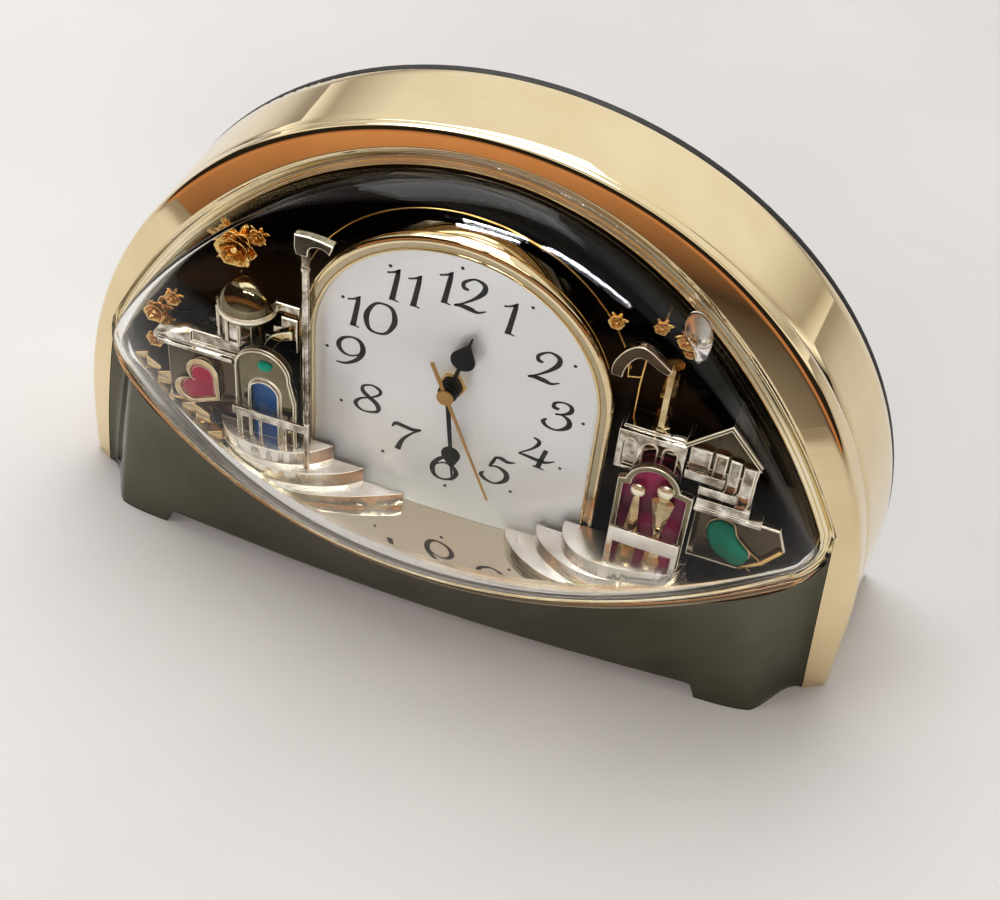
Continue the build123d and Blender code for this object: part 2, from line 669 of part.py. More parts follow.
with BuildPart() as left_column:
    with BuildSketch(Plane.XY.offset(FLOOR_TOP)):
        with Locations(COLUMN_AT):
            Circle(1.45)
    extrude(amount=80)
    for low, high, wide in ((0, 1.6, 2.0), (26, 27.5, 2.0), (76.5, 78, 2.2)):
        with BuildSketch(Plane.XY.offset(FLOOR_TOP + low)):
            with Locations(COLUMN_AT):
                Circle(min(wide, 1.6 if low < 70 else wide))
        extrude(amount=high - low)
    with BuildSketch(Plane.XY.offset(132.5)):
        with Locations(COLUMN_AT):
            Circle(2.2)
    with BuildSketch(Plane.XY.offset(138)):
        with Locations(COLUMN_AT):
            Circle(3.3)
    with BuildSketch(Plane.XY.offset(141)):
        with Locations(COLUMN_AT):
            Circle(5)
    loft()
left_column.part.label = "left_column"
export_step(left_column.part, "parts/left_column.step")

with BuildPart() as left_rail:
    with BuildSketch(facing(-RAIL_DEPTH + 1.2)):
        add(outline((-75, 64.5), (-46.5, 64.5), (-46.5, 68), (-75, 68)))
        for x, foot in ((-72, STEP_TOPS[2]), (-64.6, STEP_TOPS[2]), (-55.4, STEP_TOPS[2])):
            add(outline((x - 0.6, foot + TOUCH), (x + 0.6, foot + TOUCH), (x + 0.6, 65), (x - 0.6, 65)))
        add(outline((-48.1, STEP_TOPS[1] + TOUCH), (-46.5, STEP_TOPS[1] + TOUCH), (-46.5, 69.4), (-48.1, 69.4)))
    extrude(amount=1.2)
left_rail.part.label = "left_rail"
export_step(left_rail.part, "parts/left_rail.step")

with BuildPart() as left_flowers:
    for x, z, radius in ((-110.6, 86, 4.6), (-107, 93.6, 2.8), (-79.6, 121, 6.8), (-75, 129.4, 3.2)):
        stem = 0.4 * radius
        with BuildSketch(facing(wall_at(x, z, stem))):
            with Locations((x, z)):
                Circle(stem)
        extrude(amount=wall_at(x, z, stem) - SCENE_WALL_DEPTH + 1)
        with BuildSketch(facing(SCENE_WALL_DEPTH - TOUCH)):
            with Locations((x, z)):
                add(blossom(radius))
        extrude(amount=1.6)
        with BuildSketch(facing(SCENE_WALL_DEPTH - TOUCH - 1.6)):
            with Locations((x, z)):
                Circle(0.6 * radius)
        extrude(amount=1.4, taper=30)
left_flowers.part.label = "left_flowers"
export_step(left_flowers.part, "parts/left_flowers.step")

# ================= scenery, right =================
with BuildPart() as right_steps:
    step_stack(RIGHT_STEPS)
right_steps.part.label = "right_steps"
export_step(right_steps.part, "parts/right_steps.step")

with BuildPart() as niche:
    with BuildSketch(facing(-6.5)):
        add(niche_face(0))
        add(niche_face(-2.0), mode=Mode.SUBTRACT)
    extrude(amount=2.5)
niche.part.label = "niche"
export_step(niche.part, "parts/niche.step")

with BuildPart() as niche_back:
    with BuildSketch(facing(-5.3)):
        add(niche_face(-1))
    extrude(amount=1.2 - TOUCH)
niche_back.part.label = "niche_back"
export_step(niche_back.part, "parts/niche_back.step")

with BuildPart() as figure_left:
    with BuildSketch(Plane.XZ):
        with BuildLine():
            Polyline((0, 1), (1.6, 1), (1.1, 2.4), (0.8, 3.4), (2.3, 13.4), (3.1, 13.6), (0.9, 30), (0, 30),
                     close=True)
        make_face()
        with BuildLine():
            CenterArc((0, 32.4), 2.5, -90, 180)
            Line((0, 34.9), (0, 29.9))
        make_face()
    revolve(axis=Axis.Z)
    scale(by=(1, 0.5, 1))
figure_left.part = Pos(68.0, DIAL_Y - 8.6, FLOOR_TOP - 0.9) * figure_left.part
figure_left.part.label = "figure_left"
export_step(figure_left.part, "parts/figure_left.step")

with BuildPart() as figure_right:
    with BuildSketch(Plane.XZ):
        with BuildLine():
            Polyline((0, 0.1), (4.6, 0.1), (1.1, 17.8), (3.9, 30.6), (3.2, 31.2), (0, 31.8), close=True)
        make_face()
        with BuildLine():
            CenterArc((0, 34), 2.5, -90, 180)
            Line((0, 36.5), (0, 31.5))
        make_face()
    revolve(axis=Axis.Z)
    scale(by=(1, 0.5, 1))
figure_right.part = Pos(76.8, DIAL_Y - 8.8, FLOOR_TOP) * figure_right.part
figure_right.part.label = "figure_right"
export_step(figure_right.part, "parts/figure_right.step")

with BuildPart() as right_rail:
    with BuildSketch(facing(-11.2)):
        add(outline((61.4, 61.8), (85.4, 61.8), (85.4, 68), (61.4, 68)))
        for x in (61.4, 83.4):
            add(outline((x, FLOOR_TOP), (x + 2, FLOOR_TOP), (x + 2, 62), (x, 62)))
    extrude(amount=1.2)
right_rail.part.label = "right_rail"
export_step(right_rail.part, "parts/right_rail.step")

with BuildPart() as right_storey:
    with BuildSketch(facing(SCENE_WALL_DEPTH - TOUCH)):
        add(outline((57.8, 88), (80.2, 88), (80.2, 104.4), (57.8, 104.4)))
    extrude(amount=SCENE_WALL_DEPTH + 4.8)
    for x in (62, 68.6, 75.2):
        with BuildSketch(facing(-4.9)):
            add(round_head(x, 2.2, 89, 99.4))
        extrude(amount=-1.5, mode=Mode.SUBTRACT)
    with BuildSketch(Plane.XY.offset(104.4)):
        with Locations((69, DIAL_Y + 1)):
            Rectangle(20.4, 8)
    extrude(amount=1)
right_storey.part.label = "right_storey"
export_step(right_storey.part, "parts/right_storey.step")

with BuildPart() as right_column:
    with BuildSketch(Plane.XY.offset(105.4 + TOUCH)):
        with Locations((70.1, DIAL_Y)):
            Circle(2.5)
            with PolarLocations(2.6, 10):
                Circle(0.45, mode=Mode.SUBTRACT)
    extrude(amount=24)
    for z, high, wide in ((105.4 + TOUCH, 1.5, 3.1), (128.4, 2, 3.1), (130.4, 2, 3.6)):
        with BuildSketch(Plane.XY.offset(z)):
            with Locations((70.1, DIAL_Y)):
                Circle(wide)
        extrude(amount=high)
right_column.part.label = "right_column"
export_step(right_column.part, "parts/right_column.step")

with BuildPart() as right_arch:
    with BuildSketch(facing(-3.9)):
        with BuildLine():
            upper = Spline((52.6, 127), (54.5, 136), (60.5, 140.6), (66, 138), (70.6, 134.6))
            lower = Spline((70, 132.9), (65.4, 134.4), (60.6, 136.4), (57.4, 133), (56, 127))
            Line(upper @ 1, lower @ 0)
            Line(lower @ 1, upper @ 0)
        make_face()
    extrude(amount=3)
right_arch.part.label = "right_arch"
export_step(right_arch.part, "parts/right_arch.step")

with BuildPart() as right_rods:
    with BuildSketch(facing(1)):
        add(outline((60.2, 105.5), (61, 105.5), (61, 134), (60.2, 134)))
        add(outline((55.6, 120), (56.4, 120), (61, 122), (61, 123), (56.4, 121), (56.4, 127), (55.6, 127)))
    extrude(amount=0.8)
right_rods.part.label = "right_rods"
export_step(right_rods.part, "parts/right_rods.step")

with BuildPart() as right_flowers:
    for x, z, radius in ((63.4, 141, 2.6), (49.4, 138.4, 3.2), (70.2, 136.6, 2.6)):
        stem = 0.4 * radius
        with BuildSketch(facing(wall_at(x, z, stem))):
            with Locations((x, z)):
                Circle(stem)
        extrude(amount=wall_at(x, z, stem) - SCENE_WALL_DEPTH + 4.5)
        with BuildSketch(facing(SCENE_WALL_DEPTH - TOUCH - 4)):
            with Locations((x, z)):
                add(blossom(radius))
        extrude(amount=1.6)
        with BuildSketch(facing(SCENE_WALL_DEPTH - TOUCH - 5.6)):
            with Locations((x, z)):
                Circle(0.6 * radius)
        extrude(amount=1.2, taper=30)
right_flowers.part.label = "right_flowers"
export_step(right_flowers.part, "parts/right_flowers.step")

with BuildPart() as right_bell:
    with BuildSketch(facing(wall_at(78.2, 130, 1.2))):
        with Locations((78.2, 130)):
            Circle(1.2)
    extrude(amount=wall_at(78.2, 130, 1.2) - SCENE_WALL_DEPTH + 4)
    with BuildSketch(facing(SCENE_WALL_DEPTH - 3)):
        with BuildLine():
            right_edge = Spline((74.5, 136.6), (80.6, 131), (80.4, 125.6))
            left_edge = Spline((75.8, 124.6), (75, 130), (74.5, 136.6))
            Line(right_edge @ 1, left_edge @ 0)
        make_face()
    extrude(amount=3)
right_bell.part.label = "right_bell"
export_step(right_bell.part, "parts/right_bell.step")

with BuildPart() as right_house:
    with BuildSketch(facing(SCENE_WALL_DEPTH - TOUCH)):
        add(outline((80.6, 84), (103.5, 84), (103.5, 106.5), (92.3, 119.3), (80.6, 108)))
    extrude(amount=SCENE_WALL_DEPTH + 4)
    with BuildSketch(facing(-4.1)):
        add(outline((79.6, 106.6), (92.3, 118.6), (104.2, 105.2), (104.2, 107), (92.3, 120.2), (79.6, 108.4)))
    extrude(amount=2.4)
    for x in (86, 91.6, 97.2):
        with BuildSketch(facing(-4.2)):
            add(outline((x - 1.9, 99), (x + 1.9, 99), (x + 1.9, 106), (x - 1.9, 106)))
        extrude(amount=-1.2, mode=Mode.SUBTRACT)
right_house.part.label = "right_house"
export_step(right_house.part, "parts/right_house.step")

with BuildPart() as right_beams:
    for left, right, low, high, front in ((81, 94, 94.2, 97.6, 7), (86.6, 99, 89.6, 93, 7.6), (86.8, 104, 85, 88.4, 8.2)):
        with BuildSketch(facing(-4.1)):
            add(outline((left, low), (right, low), (right, high), (left, high)))
        extrude(amount=front - 4.1)
    with BuildSketch(Plane.YZ.offset(86.6)):
        with BuildLine():
            cove = ThreePointArc((DIAL_Y - 5, 79.4), (DIAL_Y - 6.4, 82.4), (DIAL_Y - 9, 83.6))
            Polyline(cove @ 1, (DIAL_Y - 9, 85.1), (DIAL_Y - 4.1, 85.1), (DIAL_Y - 4.1, 84),
                     (DIAL_Y - 2.8, 84), (DIAL_Y - 2.8, 79.4), cove @ 0)
        make_face()
    extrude(amount=22)
    with BuildSketch(facing(-4.1)):
        add(outline((89, 84.5), (91, 84.5), (91, 97.5), (89, 97.5)))
    extrude(amount=1.5)
right_beams.part.label = "right_beams"
export_step(right_beams.part, "parts/right_beams.step")

with BuildPart() as right_facade:
    with BuildSketch(facing(-0.5)):
        add(outline((86.6, 56), (104, 56.5), (112, 62), (118, 71), (115, 79.3), (86.6, 79.3)))
    extrude(amount=2)
right_facade.part.label = "right_facade"
export_step(right_facade.part, "parts/right_facade.step")

with BuildPart() as right_trim:
    with BuildSketch(facing(-2.6)):
        add(outline((104.2, 58), (105.4, 57.6), (112, 63), (117.4, 71), (116.2, 71.6), (111, 64)))
    extrude(amount=1)
right_trim.part.label = "right_trim"
export_step(right_trim.part, "parts/right_trim.step")

with BuildPart() as kidney_bezel:
    with BuildSketch(facing(-2.6)):
        add(kidney(0))
        add(kidney(-1.3), mode=Mode.SUBTRACT)
    extrude(amount=2.6)
kidney_bezel.part.label = "kidney_bezel"
export_step(kidney_bezel.part, "parts/kidney_bezel.step")

with BuildPart() as kidney_gem:
    with BuildSketch(facing(-2.6)):
        add(kidney(-1.4))
    extrude(amount=2.2)
kidney_gem.part.label = "kidney_gem"
export_step(kidney_gem.part, "parts/kidney_gem.step")

with BuildPart() as wall_arc:
    with BuildSketch(facing(SCENE_WALL_DEPTH - TOUCH)):
        with Locations((0, DIAL_Z + DIAL_TOP - DIAL_HALF)):
            Circle(59.6)
            Circle(58.6, mode=Mode.SUBTRACT)
        with Locations((0, 60)):
            Rectangle(200, 110, mode=Mode.SUBTRACT)
    extrude(amount=0.9)
wall_arc.part.label = "wall_arc"
export_step(wall_arc.part, "parts/wall_arc.step")

# ================= movement =================
minute_r = ARBOR_R + RUN + PIPE_T
hour_r = minute_r + RUN + PIPE_T
move_front = DIAL_T + MOVE_GAP
move_rear = move_front + MOVE_T
cell_depth = move_rear - CELL_R - 0.4
with BuildPart() as movement_case:
    with BuildSketch(facing(move_rear)):
        with Locations((0, DIAL_Z)):
            RectangleRounded(MOVE_W, MOVE_W, 3)
    extrude(amount=MOVE_T)
    chamfer(movement_case.faces().sort_by(Axis.Y)[-1].edges(), 0.8)
    with BuildSketch(facing(move_front)):
        with Locations((0, DIAL_Z)):
            Circle(BUSH_R)
    extrude(amount=move_front + NUT_T + 0.4)
    with BuildSketch(facing(move_rear - 3)):
        with Locations((0, DIAL_Z)):
            Circle(hour_r + RUN)
    extrude(amount=SKIRT, mode=Mode.SUBTRACT)
    with BuildSketch(facing(move_rear)):
        with Locations((0, DIAL_Z - CELL_DROP)):
            Rectangle(CELL_LEN + 2.4, 2 * CELL_R + 0.6)
    extrude(amount=2 * CELL_R + 0.8 - 0.4, mode=Mode.SUBTRACT)
    with BuildSketch(facing(move_rear)):
        with Locations((KNOB_OFFSET[0], DIAL_Z + KNOB_OFFSET[1])):
            Circle(STEM_R + RUN)
    extrude(amount=8, mode=Mode.SUBTRACT)
movement_case.part.label = "movement_case"
export_step(movement_case.part, "parts/movement_case.step")

with BuildPart() as dial_nut:
    with BuildSketch(facing(0)):
        with Locations((0, DIAL_Z)):
            RegularPolygon(NUT_R, 6)
            Circle(BUSH_R + BUSH_GAP, mode=Mode.SUBTRACT)
    extrude(amount=NUT_T)
dial_nut.part.label = "dial_nut"
export_step(dial_nut.part, "parts/dial_nut.step")

with BuildPart() as battery_cell:
    with BuildSketch(Plane.YZ.offset(-CELL_LEN / 2)):
        with Locations((DIAL_Y + cell_depth, DIAL_Z - CELL_DROP)):
            Circle(CELL_R)
    extrude(amount=CELL_LEN - 1.5)
    with BuildSketch(Plane.YZ.offset(CELL_LEN / 2 - 1.5)):
        with Locations((DIAL_Y + cell_depth, DIAL_Z - CELL_DROP)):
            Circle(2.6)
    extrude(amount=1.5)
battery_cell.part.label = "battery_cell"
export_step(battery_cell.part, "parts/battery_cell.step")

with BuildPart() as battery_contacts:
    for side in (-1, 1):
        with BuildSketch(Plane.YZ.offset(side * (CELL_LEN / 2 + 0.75))):
            with Locations((DIAL_Y + cell_depth, DIAL_Z - CELL_DROP)):
                Rectangle(10, 9)
        extrude(amount=0.3, both=True)
battery_contacts.part.label = "battery_contacts"
export_step(battery_contacts.part, "parts/battery_contacts.step")

with BuildPart() as setting_knob:
    knob_z = DIAL_Z + KNOB_OFFSET[1]
    with BuildSketch(facing(move_rear + 0.4 + KNOB_T)):
        with Locations((KNOB_OFFSET[0], knob_z)):
            Circle(KNOB_R)
            with PolarLocations(KNOB_R, 16):
                Circle(0.6, mode=Mode.SUBTRACT)
    extrude(amount=KNOB_T)
    with BuildSketch(facing(move_rear + 0.4)):
        with Locations((KNOB_OFFSET[0], knob_z)):
            Circle(STEM_R)
    extrude(amount=7.5)
setting_knob.part.label = "setting_knob"
export_step(setting_knob.part, "parts/setting_knob.step")

# ================= hands =================
with BuildPart() as hour_pipe:
    pipe(hour_r, minute_r + RUN, 11, HOUR_DEPTH + HAND_T)
hour_pipe.part.label = "hour_pipe"
export_step(hour_pipe.part, "parts/hour_pipe.step")

with BuildPart() as minute_pipe:
    pipe(minute_r, ARBOR_R + RUN, 12, MINUTE_DEPTH + HAND_T)
minute_pipe.part.label = "minute_pipe"
export_step(minute_pipe.part, "parts/minute_pipe.step")

with BuildPart() as second_arbor:
    pipe(ARBOR_R, 0, 13, SECOND_DEPTH + HAND_T)
    with BuildSketch(facing(-SECOND_DEPTH - HAND_T)):
        with Locations((0, DIAL_Z)):
            Circle(2.9)
    extrude(amount=0.8)
second_arbor.part.label = "second_arbor"
export_step(second_arbor.part, "parts/second_arbor.step")

with BuildPart() as hour_hand:
    hand(HOUR_LEN, 15, 4.2, HOUR_DEPTH, REST_HOUR, hour_r)
hour_hand.part.label = "hour_hand"
export_step(hour_hand.part, "parts/hour_hand.step")

with BuildPart() as minute_hand:
    hand(MINUTE_LEN, 27, 3.4, MINUTE_DEPTH, REST_MINUTE, minute_r)
minute_hand.part.label = "minute_hand"
export_step(minute_hand.part, "parts/minute_hand.step")

with BuildPart() as second_hand:
    with BuildSketch(facing(-SECOND_DEPTH)):
        add(Pos(0, DIAL_Z) * Rot(0, 0, -REST_SECOND) * needle())
    extrude(amount=HAND_T)
second_hand.part.label = "second_hand"
export_step(second_hand.part, "parts/second_hand.step")

# ================= back =================
hatch_low = DIAL_Z - RECESS_H / 2 + HATCH_GAP
hinge_z = hatch_low + HATCH_T / 2
hatch_depth = BACK_DEPTH + COVER_T - 0.2
hinge_depth = hatch_depth - HATCH_T / 2
with BuildPart() as back_cover:
    with BuildSketch(facing(BACK_DEPTH + COVER_T)):
        add(arch(ARCH_R, ARCH_Z))
    extrude(amount=COVER_T)
    chamfer(back_cover.faces().sort_by(Axis.Y)[-1].edges().filter_by(GeomType.CIRCLE), 0.8)
    with BuildSketch(facing(BACK_DEPTH)):
        with Locations((0, DIAL_Z)):
            Rectangle(RECESS_W + 2 * RECESS_WALL, RECESS_H + 2 * RECESS_WALL)
    extrude(amount=BACK_DEPTH - RECESS_FACE)
    with BuildSketch(facing(BACK_DEPTH + COVER_T)):
        with Locations((0, DIAL_Z)):
            Rectangle(RECESS_W, RECESS_H)
    extrude(amount=BACK_DEPTH + COVER_T - RECESS_FACE - RECESS_WALL, mode=Mode.SUBTRACT)
    with BuildSketch(facing(BACK_DEPTH)):
        with Locations((0, DIAL_Z)):
            Rectangle(MOVE_WINDOW, MOVE_WINDOW)
    extrude(amount=BACK_DEPTH, mode=Mode.SUBTRACT)
    with BuildSketch(facing(BACK_DEPTH + COVER_T)):
        Rectangle(2 * FOOT_SLOT_HALF, 2 * FOOT_H)
        fillet(vertices(), FOOT_H * 0.6)
    extrude(amount=COVER_T, mode=Mode.SUBTRACT)
    with BuildSketch(facing(BACK_DEPTH + COVER_T)):
        with Locations(*SCREW_SPOTS):
            Circle(SCREW_HEAD_R + 0.3)
    extrude(amount=SCREW_HEAD_T + 0.2, mode=Mode.SUBTRACT)
    with BuildSketch(facing(BACK_DEPTH + COVER_T)):
        with Locations(*SCREW_SPOTS):
            Circle(SCREW_R + SCREW_GAP)
    extrude(amount=COVER_T, mode=Mode.SUBTRACT)
    with BuildSketch(Plane.YZ):
        with Locations((DIAL_Y + hinge_depth, hinge_z)):
            Circle(PEG_R + RUN)
    extrude(amount=RECESS_W / 2 - HATCH_GAP + PEG_LEN + 0.2, both=True, mode=Mode.SUBTRACT)
back_cover.part.label = "back_cover"
export_step(back_cover.part, "parts/back_cover.step")

with BuildPart() as rear_hatch:
    hatch_half = RECESS_W / 2 - HATCH_GAP
    with BuildSketch(facing(hatch_depth)):
        with Locations((0, hinge_z + (RECESS_H - 2 * HATCH_GAP - HATCH_T / 2) / 2)):
            Rectangle(2 * hatch_half, RECESS_H - 2 * HATCH_GAP - HATCH_T / 2)
        with Locations((0, DIAL_Z + RECESS_H / 2 - HATCH_GAP)):
            Circle(8, mode=Mode.SUBTRACT)
    extrude(amount=HATCH_T)
    for radius, half in ((HATCH_T / 2, hatch_half), (PEG_R, hatch_half + PEG_LEN)):
        with BuildSketch(Plane.YZ):
            with Locations((DIAL_Y + hinge_depth, hinge_z)):
                Circle(radius)
        extrude(amount=half, both=True)
rear_hatch.part.label = "rear_hatch"
export_step(rear_hatch.part, "parts/rear_hatch.step")

with BuildPart() as cover_screws:
    with BuildSketch(facing(BACK_DEPTH + COVER_T - 0.1)):
        with Locations(*SCREW_SPOTS):
            Circle(SCREW_HEAD_R)
    extrude(amount=SCREW_HEAD_T)
    with BuildSketch(facing(BACK_DEPTH + COVER_T - SCREW_HEAD_T)):
        with Locations(*SCREW_SPOTS):
            Circle(SCREW_R)
    extrude(amount=11)
    with BuildSketch(facing(BACK_DEPTH + COVER_T)):
        with Locations(*SCREW_SPOTS):
            Rectangle(4.2, 0.8)
            Rectangle(0.8, 4.2)
    extrude(amount=1.1, mode=Mode.SUBTRACT)
cover_screws.part.label = "cover_screws"
export_step(cover_screws.part, "parts/cover_screws.step")
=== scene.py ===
# %% [markdown]
# # A mantel clock under a clear dome
# The clock is an arched gilt case with a bowed front, and a clear domed window over a silver dial
# and a small plated street scene. The engineering model comes first, as a frame that stays put.
# Everything here is either a finish on one of its parts or a finer shape that stands for one.
# The numbers are in millimetres, and a small helper turns them into Blender's metres.

# %% Load the frame
import json
from math import asin, atan, cos, hypot, pi, radians, sin, sqrt

import bmesh
import bpy
import numpy as np
from mathutils import Matrix, Vector

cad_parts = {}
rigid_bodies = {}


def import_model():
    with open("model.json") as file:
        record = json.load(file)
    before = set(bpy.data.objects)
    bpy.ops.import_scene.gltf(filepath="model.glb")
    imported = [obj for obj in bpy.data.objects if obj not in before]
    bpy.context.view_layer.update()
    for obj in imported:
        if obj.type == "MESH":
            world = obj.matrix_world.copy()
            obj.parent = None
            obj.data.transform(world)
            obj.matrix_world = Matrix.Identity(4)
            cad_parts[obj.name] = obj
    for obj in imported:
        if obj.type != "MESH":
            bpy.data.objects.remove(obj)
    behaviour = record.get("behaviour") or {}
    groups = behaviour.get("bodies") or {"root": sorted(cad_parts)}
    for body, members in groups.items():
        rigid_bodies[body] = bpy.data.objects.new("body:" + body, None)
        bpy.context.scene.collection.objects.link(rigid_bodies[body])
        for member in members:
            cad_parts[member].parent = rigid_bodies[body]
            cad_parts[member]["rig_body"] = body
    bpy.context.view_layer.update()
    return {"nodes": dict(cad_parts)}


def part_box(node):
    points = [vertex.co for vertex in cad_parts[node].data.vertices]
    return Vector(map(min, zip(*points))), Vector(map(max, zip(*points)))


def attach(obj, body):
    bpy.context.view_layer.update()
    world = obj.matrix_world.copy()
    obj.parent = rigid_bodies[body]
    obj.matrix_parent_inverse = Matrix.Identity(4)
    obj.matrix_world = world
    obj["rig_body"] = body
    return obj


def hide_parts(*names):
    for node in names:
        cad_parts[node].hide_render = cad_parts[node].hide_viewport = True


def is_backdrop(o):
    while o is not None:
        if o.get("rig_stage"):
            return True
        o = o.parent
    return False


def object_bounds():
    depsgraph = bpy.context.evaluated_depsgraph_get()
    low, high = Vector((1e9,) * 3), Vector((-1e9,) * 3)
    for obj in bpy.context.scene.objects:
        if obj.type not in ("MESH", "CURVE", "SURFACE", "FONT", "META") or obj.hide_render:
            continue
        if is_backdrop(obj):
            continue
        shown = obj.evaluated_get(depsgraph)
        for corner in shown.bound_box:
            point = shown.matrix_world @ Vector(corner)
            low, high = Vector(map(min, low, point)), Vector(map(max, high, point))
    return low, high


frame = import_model()
MM = 0.001

# %% [markdown]
# ## Where things are
# All depths are measured from the face of the dial, as a clock maker would: positive values lie
# behind it. The dial plate in the frame gives that face, and the hands' pipe gives their axis.

# %% Datum values
DIAL_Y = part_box("dial_plate")[0].y / MM
pipe_low, pipe_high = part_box("hour_pipe")
DIAL_Z = (pipe_low.z + pipe_high.z) / 2 / MM


def at(x, depth, z):
    """A point in metres from millimetres across, behind the dial and above the table."""
    return Vector((x * MM, (DIAL_Y + depth) * MM, z * MM))


print("dial face y", round(DIAL_Y, 2), "hand axis z", round(DIAL_Z, 2))

# %% [markdown]
# ## Mesh helpers
# Mirror plating shows every facet, so the large mouldings are made as fine grids of points that
# follow the real curves. `skin` joins rows of points with four-sided faces. A closed ring of
# rows gives a solid wall. Edges sharper than a set angle stay crisp, and the rest shade smooth.

# %% Grid and solid helpers
WELD, FLAT_ANGLE = 0.002, 0.4
ROUNDING = {"segments": 2, "profile": 0.5, "affect": "EDGES", "clamp_overlap": True}


def link(name, mesh, body, material, keep=30):
    """Puts a mesh in the scene, on its body, with its finish."""
    mesh.shade_smooth()
    mesh.set_sharp_from_angle(angle=radians(keep))
    piece = bpy.data.objects.new(name, mesh)
    bpy.context.scene.collection.objects.link(piece)
    piece.data.materials.append(material)
    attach(piece, body)
    return piece


def skin(rows, around=False, ring=False, caps=False, ends=False):
    """Vertices and faces from rows of equal length; around closes each row, ring closes the stack."""
    wide = len(rows[0])
    points = [p for row in rows for p in row]
    faces = []
    for r in range(len(rows) if ring else len(rows) - 1):
        s = (r + 1) % len(rows)
        for c in range(wide if around else wide - 1):
            d = (c + 1) % wide
            faces.append((r * wide + c, r * wide + d, s * wide + d, s * wide + c))
    if caps:
        faces.append([r * wide for r in range(len(rows))])
        faces.append([r * wide + wide - 1 for r in reversed(range(len(rows)))])
    if ends:
        faces.append(list(range(wide)))
        faces.append([len(points) - 1 - c for c in range(wide)])
    return points, faces


def solid(name, shells, body, material, keep=30, merge=0.0):
    """One mesh from several skins, with its faces turned outward."""
    work = bmesh.new()
    for points, faces in shells:
        verts = [work.verts.new(p) for p in points]
        for face in faces:
            corners = [verts[i] for i in face]
            if len({tuple(v.co) for v in corners}) > 2:
                work.faces.new(corners)
    if merge:
        bmesh.ops.remove_doubles(work, verts=work.verts, dist=merge * MM)
    bmesh.ops.recalc_face_normals(work, faces=work.faces)
    mesh = bpy.data.meshes.new(name)
    work.to_mesh(mesh)
    work.free()
    return link(name, mesh, body, material, keep)


def thicken(piece, wall):
    """Gives an open sheet its moulded wall, grown inward from its shown face and level at the foot."""
    shell = piece.modifiers.new("wall", "SOLIDIFY")
    shell.thickness = wall * MM
    shell.offset = -1
    graph = bpy.context.evaluated_depsgraph_get()
    grown = bpy.data.meshes.new_from_object(piece.evaluated_get(graph))
    piece.modifiers.clear()
    piece.data = grown
    for vertex in grown.vertices:
        vertex.co.z = max(vertex.co.z, 0.0)


def dressed(node, material, bevel=0.15, edge=None, keep=35):
    """A finer copy of a frame part: its sharp edges get the small rounding that catches the light, and an
    edge finish, when given, paints that rounding brighter as a painted highlight.
    """
    source = frame["nodes"][node]
    work = bmesh.new()
    work.from_mesh(source.data)
    bmesh.ops.remove_doubles(work, verts=work.verts, dist=WELD * MM)
    bmesh.ops.dissolve_limit(work, angle_limit=radians(FLAT_ANGLE), verts=work.verts, edges=work.edges)
    sharp = [e for e in work.edges if e.is_manifold and e.calc_face_angle(0) > radians(keep)]
    if bevel:
        # With an edge finish the rounding faces take it: a painted highlight along each sharp edge.
        bmesh.ops.bevel(work, geom=sharp, offset=bevel * MM, material=1 if edge else -1, **ROUNDING)
    mesh = bpy.data.meshes.new(node + "_fine")
    work.to_mesh(mesh)
    work.free()
    piece = link(node + "_fine", mesh, source["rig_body"], material, keep)
    if edge:
        mesh.materials.append(edge)
    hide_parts(node)
    return piece


# %% [markdown]
# ## Beads and plates
# The scenery is full of fine bright outlines. A wire is a thin round bead carried along points, and
# a plate is a flat moulding whose front edge is rounded and painted brighter than its face, a painted
# highlight.

# %% Bead and plate helpers
def wire(points, radius, shut=False, sides=8):
    """A thin round bead along a run of points in millimetres, as one skin."""
    path = [at(*p) for p in points]
    rings = []
    side = None
    for i, here in enumerate(path):
        before = path[i - 1] if shut or i else here
        after = path[(i + 1) % len(path)] if shut or i < len(path) - 1 else here
        along = (after - before).normalized()
        side = along.orthogonal() if side is None else side - along * side.dot(along)
        side.normalize()
        other = along.cross(side)
        rings.append([here + (side * cos(2 * pi * k / sides) + other * sin(2 * pi * k / sides)) * radius * MM
                      for k in range(sides)])
    return skin(rings, around=True, ring=shut, ends=not shut)


def plate(name, outline, front, back, bevel, material, edge):
    """A flat moulding with this outline, across and above, and a rounded front edge in a second finish, a
    painted highlight.
    """
    rows = [[at(x, depth, z) for x, z in outline] for depth in (back, front)]
    points, faces = skin(rows, around=True, ends=True)
    work = bmesh.new()
    verts = [work.verts.new(p) for p in points]
    for face in faces:
        work.faces.new([verts[i] for i in face])
    bmesh.ops.recalc_face_normals(work, faces=work.faces)
    shown = set(verts[len(outline):])
    rim = [e for e in work.edges if e.verts[0] in shown and e.verts[1] in shown]
    bmesh.ops.bevel(work, geom=rim, offset=bevel * MM, material=1, **ROUNDING)
    mesh = bpy.data.meshes.new(name)
    work.to_mesh(mesh)
    work.free()
    piece = link(name, mesh, "case", material)
    # The rounded rim takes the second finish: a painted highlight along the front edge.
    mesh.materials.append(edge)
    return piece


def round_head(middle, half, foot, spring, depth, count=14):
    """Points up one side of an arched opening, over its head and down the other side."""
    over = [(middle + half * cos(pi * i / count), depth, spring + half * sin(pi * i / count))
            for i in range(count + 1)]
    return [(middle + half, depth, foot)] + over + [(middle - half, depth, foot)]


# %% [markdown]
# ## Finishes
# Almost everything here is plastic with a vacuum-plated metal film. A real plated moulding isn't a
# perfect mirror: it has a faint waviness, small changes of tone and a fine haze. So each finish
# mixes two close tones by noise, and takes its roughness and a very low bump from noise too.

# %% Material maker
TONE_BAND, GRAIN_DEPTH = (0.35, 0.65), 0.0002
CLEAR_TINT = (0.97, 0.97, 0.96, 1)


